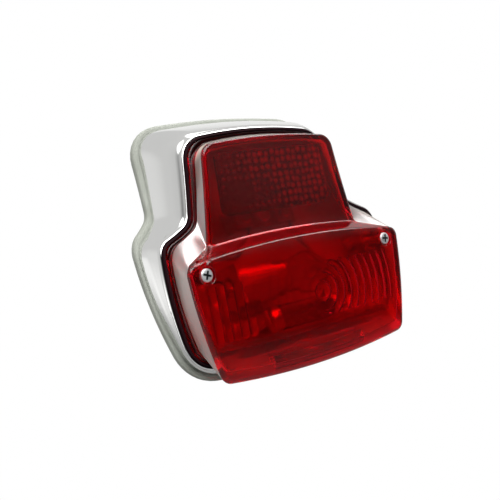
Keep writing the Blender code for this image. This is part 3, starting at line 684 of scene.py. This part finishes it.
def screw_tube(side):
    """Rows down a screw's recess, through the lens and back up the outside of its pillar."""
    hole, recess, pillar, root, end = 1.9, 3.4, 3.5, 2.95, 14.7
    return [
        screw_circle(side, recess + 0.35, face_depth),
        screw_circle(side, recess + 0.1, lambda x, z: face_depth(x, z) + 0.12),
        screw_circle(side, recess, lambda x, z: face_depth(x, z) + 0.4),
        screw_circle(side, recess, 1.9), screw_circle(side, hole + 0.2, 1.9), screw_circle(side, hole, 2.1),
        screw_circle(side, hole, end), screw_circle(side, pillar - 0.2, end),
        screw_circle(side, pillar, end - 0.3), screw_circle(side, pillar - 0.1, 7.0),
        screw_circle(side, root, 4.2), screw_circle(side, root, inner_height),
    ]


def lens_mesh():
    edge_r = 1.5
    front_rows = [face_loop(LENS_FACE, edge_r + 0.35, 0.0)]
    for a in (math.radians(d) for d in (0, 18, 36, 54, 72, 90)):
        front_rows.append(face_loop(LENS_FACE, edge_r * (1 - math.sin(a)), edge_r * (1 - math.cos(a))))
    foot = loop(WALL_FOOT, FLANGE, 0.0, -1.3)
    wall_rows = [[a.lerp(b, t) for a, b in zip(front_rows[-1], foot)] for t in (0.2, 0.4, 0.6, 0.8, 1.0)]
    inner_front = face_loop(INNER_FACE, LENS_WALL, LENS_WALL + 0.9)
    inner_foot = loop(INNER_FOOT, FLANGE, 2.0, 1.9)
    inner_rows = [[a.lerp(b, t) for a, b in zip(inner_foot, inner_front)] for t in (0.25, 0.5, 0.75)]
    rows = [
        *front_rows, *wall_rows,
        loop(WALL_FOOT, FLANGE, -0.04, -0.7), loop(WALL_FOOT, FLANGE, -0.14, -0.25),
        loop(WALL_FOOT, FLANGE, -0.35, 0.0),
        loop(RIM_EDGE, FLANGE, 2.9, 0.0), loop(RIM_EDGE, FLANGE, 2.55, 0.15),
        loop(RIM_EDGE, FLANGE, 2.5, 0.5), loop(RIM_EDGE, FLANGE, 2.5, 1.9),
        inner_foot, *inner_rows, inner_front,
        face_loop(INNER_FACE, LENS_WALL + 0.25, LENS_WALL + 0.25),
        face_loop(INNER_FACE, LENS_WALL + 0.9, LENS_WALL),
    ]

    def build(bm):
        made = bridge(bm, rows)
        first, last = len(front_rows) - 1, len(front_rows) + len(wall_rows)
        inner = rows.index(inner_foot)
        paint(bm, made[first:last], SIDE)
        # painted shade: the wall foot, flange and inner foot get the darker red
        paint(bm, made[last - 1:inner + 1], EDGE)
        paint(bm, made[inner - 1:], INNER)
        tubes = [bridge(bm, screw_tube(side)) for side in (-1, 1)]
        sheet_between(bm, made[0], [tube[0] for tube in tubes], outer_points(), face_depth)
        known = set(bm.faces)
        sheet_between(bm, made[-1], [tube[-1] for tube in tubes], inner_points(), inner_height)
        for face in bm.faces:
            if face not in known:
                face.material_index = INNER
    return mesh_of("lens_moulding", build)


def foot_wall_point(x, along, depth):
    """Point in the lens's underside: a share of the way from front to back, and a depth into the wall."""
    front = Vector((1.4, LENS_FACE.foot_z - LENS_FACE.foot_drop * (1 - (x / LENS_FACE.foot_half) ** 2)))
    z = LENS_FOOT.foot_z - LENS_FOOT.foot_drop * (1 - (x / LENS_FOOT.foot_half) ** 2)
    back = Vector((FLANGE.depth + FLANGE.slope * z, z))
    run = back - front
    inward = Vector((-run.y, run.x)).normalized()
    p = front + run * along + inward * depth
    return world(x, p.x, p.y)


def foot_patch_mesh(name, half_width, along, depth, steps=24):
    corners = ((along[0], depth[0]), (along[1], depth[0]), (along[1], depth[1]), (along[0], depth[1]))

    def build(bm):
        capped(bm, [[foot_wall_point(half_width * (2 * i / steps - 1), a, d) for a, d in corners]
                    for i in range(steps + 1)])
    return mesh_of(name, build)


def lens():
    mesh = lens_mesh()
    slot = loose("window_slot", foot_patch_mesh("window_slot", 24.3, (0.22, 0.74), (-3, 4)))
    piece = new_piece("lens_moulding", mesh, "lens", "red_lens", ["lens"], angle=24)
    for surface in (SATIN_SIDE, INSIDE, SHADED_FLANGE_RED):
        mesh.materials.append(surface)
    cut(piece, [slot])
    pane = foot_patch_mesh("number_plate_window", 24.0, (0.25, 0.71), (0.15, 1.55))
    window = new_piece("number_plate_window", pane, "lens", "clear_window", ["plate_window"])
    soften(window, 0.25)


# ---- reflector ----
def reflector_panel():
    """Flat red panel with rows of pyramids on its back."""
    front, thick, middle_z = SETBACK + LENS_WALL + GAP, 2.6, 30.5
    corners = ((-27.5, 43.6), (-28.3, 17.5), (28.3, 17.5), (27.5, 43.6))
    low, high, half, rows = 19.3, 41.8, 26.0, 9      # the field of prisms
    count = round(2 * half / CELL)
    step_z = (high - low) / rows

    def rim(shrink, depth):
        k = 1 - shrink / 25
        points = []
        for (ax, az), (bx, bz) in zip(corners, corners[1:] + corners[:1]):
            for t in (0.06, 0.25, 0.5, 0.75, 0.94):
                x, z = ax + (bx - ax) * t, az + (bz - az) * t
                points.append(world(x * k, front + depth, middle_z + (z - middle_z) * k))
        return points

    def build(bm):
        made = bridge(bm, [rim(0.6, 0.0), rim(0.15, 0.12), rim(0.0, 0.5),
                           rim(0.0, thick - 0.3), rim(0.3, thick)])
        bm.faces.new(made[0])
        tips, scatter = [], []
        for k in range(rows + 1):
            z = low + k * step_z
            for i in range(count + 1):
                x = -half + 2 * half * i / count
                scatter.append((x, z))
                if i < count and k < rows:
                    tips.append((x + CELL / 2, z + step_z / 2))
                    scatter.append(tips[-1])

        def height(x, z):
            at_tip = any(abs(tx - x) < 0.1 and abs(tz - z) < 0.1 for tx, tz in tips)
            return front + thick - (0.0 if at_tip else CELL_DEPTH)
        sheet_between(bm, made[-1], [], scatter, height)
    mesh = mesh_of("reflector_panel", build)
    new_piece("reflector_panel", mesh, "lens", "reflector", ["reflex_reflector"], angle=20)


# ---- housing and seals ----
def housing_section(t, distance):
    widening = 1 - (1 - t) ** FLARE
    plane = Plane(RIM.depth + (REAR.depth - RIM.depth) * t, RIM.slope + (REAR.slope - RIM.slope) * t)
    return loop(mix(RIM_EDGE, REAR_EDGE, widening), plane, distance)


def housing():
    rim = [(0.95, 2.0), (0.95, 0.9), (0.85, 0.3), (0.5, 0.0), (0.12, 0.18), (0.0, 0.6)]
    mesh = ring_mesh("housing_shell", [
        *(loop(RIM_EDGE, RIM, inset, behind) for inset, behind in rim),
        *(housing_section(t, REAR_DRAFT * ramp(t, 0.3, 1.0))
          for t in (0.07, 0.14, 0.22, 0.3, 0.4, 0.5, 0.6, 0.7, 0.8, 0.9, 0.97, 1.0)),
        *(housing_section(t, SHELL + REAR_DRAFT) for t in (1.0, 0.9, 0.75)),
        loop(RIM_EDGE, RIM, 1.7, 3.2), loop(RIM_EDGE, RIM, 4.7, 3.2), loop(RIM_EDGE, RIM, 4.8, 3.0),
        loop(RIM_EDGE, RIM, 4.8, 2.2), loop(RIM_EDGE, RIM, 4.6, 2.0),
    ])
    new_piece("housing_shell", mesh, "root", "chrome", ["housing"], angle=50)


def seals():
    front = REAR.depth - MOUNT.depth + GAP
    mesh = ring_mesh("bodywork_gasket", [
        *(loop(GASKET_EDGE, MOUNT, inset, behind) for inset, behind in (
            (0.6, 0.0), (0.2, -0.15), (0.1, -0.5), (0.1, front + 1.1), (0.2, front + 0.5),
            (0.5, front + 0.12), (1.1, front))),
        *(loop(REAR_EDGE, MOUNT, inset, behind) for inset, behind in (
            (1.9, front), (2.2, front + 0.2), (2.2, -1.2), (6.3, -1.2),
            (6.5, -1.0), (6.5, -0.2), (6.3, 0.0))),
    ])
    new_piece("bodywork_gasket", mesh, "root", "grey_rubber", ["rear_gasket"], angle=60)
    mesh = ring_mesh("lens_seal", [loop(RIM_EDGE, RIM, inset, behind) for inset, behind in (
        (1.1, 1.7), (1.1, -0.4), (1.2, -0.75), (1.5, -1.0), (1.9, -0.95), (2.15, -0.65),
        (2.2, -0.3), (2.2, 0.8), (4.7, 0.8), (4.8, 0.95), (4.8, 1.7))])
    new_piece("lens_seal", mesh, "root", "black_rubber", ["lens_gasket"], angle=60)


# ---- screws, studs and nuts ----
def cross_cutter(name, matrix, turn):
    """One tapered slot of the cross in a screw's head."""
    wide, narrow, half = 1.8, 0.8, 0.42

    def build(bm):
        capped(bm, [[Vector((x, y, height)) * MM for x, y in
                     ((-length, -half), (length, -half), (length, half), (-length, half))]
                    for length, height in ((wide, -0.6), (wide, 0.2), (narrow, 1.8))])
        # the faces that the cut leaves inside the cross take the near-black zinc: painted shade
        for face in bm.faces:
            face.material_index = 1
    tool = loose(name, mesh_of(name, build, matrix @ Matrix.Rotation(turn, 4, "Z")))
    tool.data.materials.append(LOOKS["zinc_screw"])
    tool.data.materials.append(SHADED_RECESS)
    return tool


def lens_screw(side, tag):
    matrix = frame_at(world(side * SCREW_X, 0.3, SCREW_Z), BACK)
    segments, shank = 40, 1.5
    head = [(0.9, -0.02), (1.6, 0.03), (2.2, 0.14), (2.5, 0.27), (2.66, 0.48), (2.7, 0.7), (2.7, 1.2),
            (2.6, 1.3), (1.7, 1.3), (shank, 1.5), (shank, 9.0)]
    rows = [circle(r, h, segments) for r, h in head]
    rows += [*threaded_rows(shank, 0.28, 9.2, 19.2, 0.5, segments), circle(1.0, 20.0, segments)]
    name = f"lens_screw_{tag}_machined"
    mesh = mesh_of(name, lambda bm: capped(bm, rows), matrix)
    piece = new_piece(name, mesh, f"lens_screw_{tag}", "zinc_screw", [f"lens_screw_{tag}"])
    piece.data.materials.append(SHADED_RECESS)
    turn = math.radians(CROSS_TURN[tag])
    cut(piece, [cross_cutter(f"cross_{tag}", matrix, turn + quarter) for quarter in (0, math.pi / 2)])


def stud(side, tag):
    matrix = frame_at(seat(side * STUD_X, STUD_UP, 0), AHEAD)
    front, segments, shank = PLATE_FRONT + GAP, 32, 2.5
    head = [(shank, -0.8), (shank, front), (4.2, front), (4.4, front + 0.2), (4.4, front + 2.3),
            (4.2, front + 2.8), (3.5, front + 3.15)]
    rows = [circle(2.0, -14.0, segments), *threaded_rows(shank, 0.42, -13.5, -1.0, 0.8, segments)]
    rows += [circle(r, h, segments) for r, h in head]
    name = f"threaded_stud_{tag}"
    mesh = mesh_of(name, lambda bm: capped(bm, rows), matrix)
    new_piece(name, mesh, "root", "zinc_screw", [f"mounting_stud_{tag}"])


def nut(side, tag):
    """Hexagon nut with chamfered corners and a countersunk bore."""
    flats, bore, height, behind, segments = 8.0, 2.8, 4.0, 8.2, 72
    matrix = frame_at(seat(side * STUD_X, STUD_UP, -behind), AHEAD)
    crown = flats / 2 * 0.97
    slope = math.tan(math.radians(28))

    def hexagon(height_at):
        points = []
        for i in range(segments):
            a = 2 * math.pi * i / segments
            off = (a + math.pi / 6) % (math.pi / 3) - math.pi / 6
            r = flats / 2 / math.cos(off)
            points.append(Vector((r * math.cos(a), r * math.sin(a), height_at((r - crown) * slope))) * MM)
        return points

    name = f"hexagon_nut_{tag}"
    mesh = mesh_of(name, lambda bm: bridge(bm, [
        circle(bore, 0.5, segments), circle(bore + 0.4, 0, segments), circle(crown, 0, segments),
        hexagon(lambda drop: drop), hexagon(lambda drop: height - drop),
        circle(crown, height, segments), circle(bore + 0.4, height, segments),
        circle(bore, height - 0.5, segments),
    ], ring=True), matrix)
    new_piece(name, mesh, "root", "zinc_screw", [f"mounting_nut_{tag}"], angle=25)


# ---- bulbs ----
def stop_matrix():
    """Place of the stop bulb: local +Z runs along its axis."""
    turn = Matrix((UPWARD, RIGHT.cross(UPWARD), RIGHT)).transposed()
    return Matrix.Translation(seat(0, STOP_UP, STOP_AHEAD)) @ turn.to_4x4()


def coil(centre, along, out, half_length, radius, turns):
    """Points of a small helix about an axis, without its legs."""
    side = along.cross(out)
    count = turns * 10
    return [centre + along * (half_length * (2 * k / count - 1)) * MM
            + (out * math.cos(2 * math.pi * k / 10) + side * math.sin(2 * math.pi * k / 10)) * radius * MM
            for k in range(count + 1)]


def wire(name, points, radius, body, look, nodes=(), resolution=3):
    curve = bpy.data.curves.new(name, "CURVE")
    curve.dimensions = "3D"
    curve.bevel_depth = radius * MM
    curve.bevel_resolution = resolution
    curve.use_fill_caps = True
    spline = curve.splines.new("POLY")
    spline.points.add(len(points) - 1)
    for slot, point in zip(spline.points, points):
        slot.co = (*point, 1.0)
    holder = loose(f"{name}_curve", curve)
    graph = bpy.context.evaluated_depsgraph_get()
    mesh = bpy.data.meshes.new_from_object(holder.evaluated_get(graph))
    bpy.data.objects.remove(holder, do_unlink=True)
    mesh.name = name
    bm = bmesh.new()
    bm.from_mesh(mesh)
    bmesh.ops.remove_doubles(bm, verts=bm.verts, dist=1e-6)
    bm.to_mesh(mesh)
    bm.free()
    return new_piece(name, mesh, body, look, nodes, angle=50)


def stop_bulb():
    back, front = BULB_BACK, BULB_BACK + 16.0
    neck, globe, globe_x, wall, segments = front - 5.4, 9.0, BULB_BACK + 31.0, 0.6, 56
    outer = [(6.5, neck), (6.5, front - 0.5), (6.45, front + 0.6), (6.5, front + 1.6)]
    outer += [(globe * math.sin(a), globe_x - globe * math.cos(a))
              for a in (math.radians(d) for d in range(49, 178, 5))]
    outer[-1] = (0.35, globe_x + globe)
    inner = [(max(r - wall, 0.2), h if r > wall * 3 else h - wall) for r, h in outer]
    mesh = turned_mesh("stop_bulb_envelope", outer + inner[::-1], stop_matrix(), segments, ring=True)
    new_piece("stop_bulb_envelope", mesh, "stop_bulb", "bulb_glass", ["stop_bulb_glass"])
    profile = [(1.0, back - 0.7), (1.6, back - 0.6), (2.1, back - 0.3), (2.3, back), (2.6, back + 0.05),
               (6.2, back + 0.3), (6.9, back + 0.55), (7.3, back + 1.1), (7.4, back + 1.8),
               (7.4, front - 1.2), (7.35, front - 0.8), (7.4, front - 0.4), (7.35, front - 0.05),
               (7.1, front), (6.9, front - 0.2), (6.9, front - 6)]

    def build(bm):
        capped(bm, [circle(r, h, segments) for r, h in profile])
        spin = Matrix.Translation((0, 0, PIN_X * MM)) @ Matrix.Rotation(math.pi / 2, 4, "Y")
        for flip in (1, -1):
            capped(bm, [[spin @ Vector((p.x, p.y, flip * p.z)) for p in circle(r, h, 20)]
                        for r, h in ((1.0, 7.3), (1.0, 8.7), (0.92, 8.9), (0.7, 9.0))])
    mesh = mesh_of("stop_bulb_cap", build, stop_matrix())
    new_piece("stop_bulb_cap", mesh, "stop_bulb", "brass", ["stop_bulb_base"])
    tip, reach = globe_x, 3.0
    post = [(front - 5.6, 1.6), (front - 1, 1.8), (tip - 1.2, reach)]
    lower = [seat(x, STOP_UP - w, STOP_AHEAD) for x, w in post]
    upper = [seat(x, STOP_UP + w, STOP_AHEAD) for x, w in reversed(post)]
    hair = coil(seat(tip - 0.6, STOP_UP, STOP_AHEAD), UPWARD, RIGHT, reach, 0.45, 9)
    wire("stop_bulb_coil", lower + hair + upper, 0.16, "stop_bulb", "tungsten", ["stop_bulb_filament"])


def festoon_bulb():
    centre = seat(0, FESTOON_UP, FESTOON_AHEAD)
    tube = [(4.75, -13.2), (4.95, -13.1), (5.1, -12.7), (5.1, 12.7), (4.95, 13.1), (4.75, 13.2),
            (4.6, 13.1), (4.6, -13.1)]
    mesh = turned_mesh("festoon_envelope", tube, frame_at(centre, RIGHT), ring=True)
    new_piece("festoon_envelope", mesh, "festoon_bulb", "bulb_glass", ["festoon_glass"])
    hair = coil(centre, RIGHT, AHEAD, 5.0, 0.4, 16)
    ends = [seat(x, FESTOON_UP, FESTOON_AHEAD) for x in (-13.0, -9.0, 9.0, 13.0)]
    wire("festoon_coil", ends[:2] + hair + ends[2:], 0.14, "festoon_bulb", "tungsten", ["festoon_filament"])
    for side, tag in SIDES:
        profile = [(5.1, 13.5), (5.3, 13.6), (5.3, 14.6), (5.22, 14.8), (5.3, 15.0), (5.3, 16.3),
                   (5.1, 16.9), (4.7, 17.6), (4.2, 18.2), (3.2, 18.8), (2.0, 19.35), (1.35, 19.7),
                   (1.2, 19.9), (1.2, 21.0), (1.1, 21.25), (0.8, 21.4)]
        name = f"festoon_ferrule_{tag}"
        mesh = turned_mesh(name, profile, frame_at(centre, RIGHT * side))
        new_piece(name, mesh, "festoon_bulb", "brass", [f"festoon_cap_{tag}"])


def contact():
    tail, head = SOCKET_BACK - 5.5, BULB_BACK - 1.0
    profile = [(0.9, tail), (1.1, tail + 0.2), (1.1, head - 1.0), (2.3, head - 1.0), (2.4, head - 0.9),
               (2.4, head - 0.3), (2.2, head - 0.1), (1.5, head)]
    mesh = turned_mesh("plunger_turned", profile, stop_matrix())
    new_piece("plunger_turned", mesh, "contact", "brass", ["contact_plunger"])
    start, end = SOCKET_BACK + 3.1, head - 1.55
    centre = seat((start + end) / 2, STOP_UP, STOP_AHEAD)
    turns = coil(centre, RIGHT, UPWARD, (end - start) / 2, 2.0, 3)
    spring = wire("plunger_spring", turns, 0.2, "root", "spring_steel", ["contact_spring"])
    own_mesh(spring)


# ---- leads ----
def smooth_route(knots, steps):
    padded = [2 * knots[0] - knots[1], *knots, 2 * knots[-1] - knots[-2]]
    route = []
    for a, b, c, d in zip(padded, padded[1:], padded[2:], padded[3:]):
        for k in range(steps):
            t = k / steps
            route.append(0.5 * (2 * b + (c - a) * t + (2 * a - 5 * b + 4 * c - d) * t * t
                                + (3 * b - a - 3 * c + d) * t ** 3))
    return route + [knots[-1]]


def leads():
    top = BLOCK_TOP + 0.8 + 2 * GAP + 0.9
    beside = 1.1 + 0.9 + GAP
    stop = [seat(x, up, v) for x, up, v in (
        (-TERMINAL_X, BLOCK_UP - 5.0, top), (-TERMINAL_X - 2, BLOCK_UP - 9, top - 1), (-20, -10, 8.5),
        (-31, -9, 9), (-36, -13, 11.5), (-37.5, -18, 13), (-36.8, STOP_UP + beside + 1, STOP_AHEAD),
        (-34, STOP_UP + beside, STOP_AHEAD))]
    wire("stop_wire", smooth_route(stop, 10), 0.9, "root", "wire_sleeve", ["stop_lead"], 5)
    tail = [seat(x, up, v) for x, up, v in (
        (TERMINAL_X, BLOCK_UP - 5.0, top), (TERMINAL_X + 2, BLOCK_UP - 9, top - 2), (20, -12, 6.5),
        (28, -22, 5), (30, -31, 5.4), (29.5, FESTOON_UP + 5.2, 6.4))]
    wire("tail_wire", smooth_route(tail, 10), 0.9, "root", "wire_sleeve", ["tail_lead"], 5)


def grommet():
    bore, neck, flange, back, front = 4.0, 5.4, 7.2, -0.6, PLATE_FRONT + 2.2
    behind, ahead = PLATE_BACK - GAP, PLATE_FRONT + GAP
    profile = [(bore + 0.3, back), (flange - 0.3, back), (flange, back + 0.3), (flange, behind - 0.2),
               (flange - 0.2, behind), (neck, behind), (neck, ahead), (flange, ahead),
               (flange, PLATE_FRONT + 1.0), (flange - 0.5, PLATE_FRONT + 1.8), (flange - 1.2, front),
               (bore + 0.4, front), (bore, front - 0.4), (bore, back + 0.3)]
    mesh = turned_mesh("grommet_moulding", profile, frame_at(seat(0, GROMMET_UP, 0), AHEAD), 56, ring=True)
    new_piece("grommet_moulding", mesh, "root", "black_rubber", ["cable_grommet"], angle=50)


# ---- nodes whose CAD shape is right ----
def dress_frame():
    slots = {row["node"]: row["material_slot"] for row in frame["record"]["subparts"]}
    for name, node in frame["nodes"].items():
        node.data.materials.clear()
        node.data.materials.append(LOOKS[slots[name]])
        if not node.hide_render:
            weld = node.modifiers.new("one_skin", "WELD")
            weld.merge_threshold = 1e-6
            soften(node, 0.12, 2)


# ---- studio ----
FLOOR_RADIUS, FLOOR_HEIGHT = 1.4, -0.16      # metres


def studio():
    """Pale floor that fades away with distance, and the light round the lamp."""
    floor = bpy.data.meshes.new("studio_floor")
    bm = bmesh.new()
    bmesh.ops.create_circle(bm, cap_ends=True, segments=96, radius=FLOOR_RADIUS)
    bmesh.ops.translate(bm, vec=(0, 0, FLOOR_HEIGHT), verts=bm.verts)
    bm.to_mesh(floor)
    bm.free()
    ground = loose("studio_floor", floor)
    made = Surface("pale_floor", Roughness=0.8)
    new, link = made.nodes.new, made.links.new
    made.shader.inputs["Base Color"].default_value = (0.18, 0.18, 0.18, 1.0)
    glow = new("ShaderNodeEmission")
    glow.inputs["Strength"].default_value = 1.0
    seen = new("ShaderNodeMixShader")
    link(new("ShaderNodeLightPath").outputs["Is Camera Ray"], seen.inputs["Fac"])
    link(made.shader.outputs["BSDF"], seen.inputs[1])
    link(glow.outputs["Emission"], seen.inputs[2])
    clear = new("ShaderNodeBsdfTransparent")
    fade = new("ShaderNodeMixShader")
    distance = new("ShaderNodeVectorMath")
    distance.operation = "LENGTH"
    link(made.place, distance.inputs[0])
    link(made.map_range(distance.outputs["Value"], 0.0, 1.0, (0.25, 0.95)), fade.inputs["Fac"])
    link(seen.outputs["Shader"], fade.inputs[1])
    link(clear.outputs["BSDF"], fade.inputs[2])
    link(fade.outputs["Shader"], made.nodes["Material Output"].inputs["Surface"])
    floor.materials.append(made.material)
    room()


def toward(azimuth, elevation):
    """Unit vector; azimuth turns from +X towards +Y."""
    a, e = math.radians(azimuth), math.radians(elevation)
    return (math.cos(a) * math.cos(e), math.sin(a) * math.cos(e), math.sin(e))


# Soft lights as patches of a bright surround: direction, inner and outer angle in degrees, and radiance.
SOFT_LIGHTS = {
    "rear_left_panel": (toward(140, 8), 6, 34, 0.12),
    "low_left_panel": (toward(142, -16), 4, 26, 0.35),
    "low_rear_panel": (toward(118, -6), 4, 20, 0.3),
    "low_front_panel": (toward(-170, -14), 6, 26, 1.0),
    "rear_right_panel": (toward(56, 22), 6, 22, 0.26),
    "front_veil": (toward(-50, 12), 5, 14, 0.2),
    "front_left_key": (toward(-104, 54), 8, 38, 7.0),
    "front_right_fill": (toward(4, 60), 6, 25, 5.0),
    "right_panel": (toward(-12, 2), 8, 34, 0.5),
}


def room():
    """Surround that is bright behind the lamp and dim in front of it and below, with soft lights in it."""
    sky = bpy.data.worlds.new("studio_room")
    bpy.context.scene.world = sky
    sky.use_nodes = True
    nodes, links = sky.node_tree.nodes, sky.node_tree.links
    place = nodes.new("ShaderNodeTexCoord").outputs["Generated"]
    split = nodes.new("ShaderNodeSeparateXYZ")
    links.new(place, split.inputs["Vector"])

    def fade(value, source, target):
        node = nodes.new("ShaderNodeMapRange")
        node.interpolation_type = "SMOOTHSTEP"
        for socket, number in zip(("From Min", "From Max", "To Min", "To Max"), (*source, *target)):
            node.inputs[socket].default_value = number
        links.new(value, node.inputs["Value"])
        return node.outputs["Result"]

    def combine(operation, first, second):
        node = nodes.new("ShaderNodeMath")
        node.operation = operation
        links.new(first, node.inputs[0])
        links.new(second, node.inputs[1])
        return node.outputs["Value"]

    total = combine("MULTIPLY", fade(split.outputs["Y"], (-0.75, 0.1), (0.02, 0.62)),
                    fade(split.outputs["Z"], (-0.42, 0.12), (0.12, 1.0)))
    for direction, inner, outer, radiance in SOFT_LIGHTS.values():
        dot = nodes.new("ShaderNodeVectorMath")
        dot.operation = "DOT_PRODUCT"
        dot.inputs[1].default_value = direction
        links.new(place, dot.inputs[0])
        patch = fade(dot.outputs["Value"], (math.cos(math.radians(outer)), math.cos(math.radians(inner))),
                     (0.0, radiance))
        total = combine("ADD", total, patch)
    lit = nodes["Background"]
    lit.inputs["Color"].default_value = (1.0, 0.995, 0.985, 1.0)
    links.new(total, lit.inputs["Strength"])
    white = nodes.new("ShaderNodeBackground")
    white.inputs["Color"].default_value = (1.0, 1.0, 1.0, 1.0)
    white.inputs["Strength"].default_value = 1.0
    choose = nodes.new("ShaderNodeMixShader")
    links.new(nodes.new("ShaderNodeLightPath").outputs["Is Camera Ray"], choose.inputs["Fac"])
    links.new(lit.outputs["Background"], choose.inputs[1])
    links.new(white.outputs["Background"], choose.inputs[2])
    links.new(choose.outputs["Shader"], nodes["World Output"].inputs["Surface"])


def camera():
    azimuth, elevation, roll = (math.radians(a) for a in (-35.15, 0.5, -10.6))
    distance, target = 0.2722, world(-26.9, 0.0, 2.75)
    back = Vector((math.sin(azimuth) * math.cos(elevation), -math.cos(azimuth) * math.cos(elevation),
                   math.sin(elevation)))
    right = (-back).cross(Vector((0, 0, 1))).normalized()
    up = right.cross(-back)
    turned_right = right * math.cos(roll) + up * math.sin(roll)
    turned_up = up * math.cos(roll) - right * math.sin(roll)
    lens_data = bpy.data.cameras.new("camera")
    lens_data.lens = 50.4
    lens_data.clip_start = 0.01
    seen = bpy.data.objects.new("camera", lens_data)
    seen.matrix_world = Matrix.Translation(target + back * distance) @ Matrix(
        (turned_right, turned_up, back)).transposed().to_4x4()
    bpy.context.collection.objects.link(seen)
    bpy.context.scene.camera = seen


camera()
studio()
lens()
reflector_panel()
housing()
seals()
for side, tag in SIDES:
    lens_screw(side, tag)
    stud(side, tag)
    nut(side, tag)
stop_bulb()
festoon_bulb()
contact()
leads()
grommet()
dress_frame()
bpy.context.scene.view_settings.view_transform = "Standard"
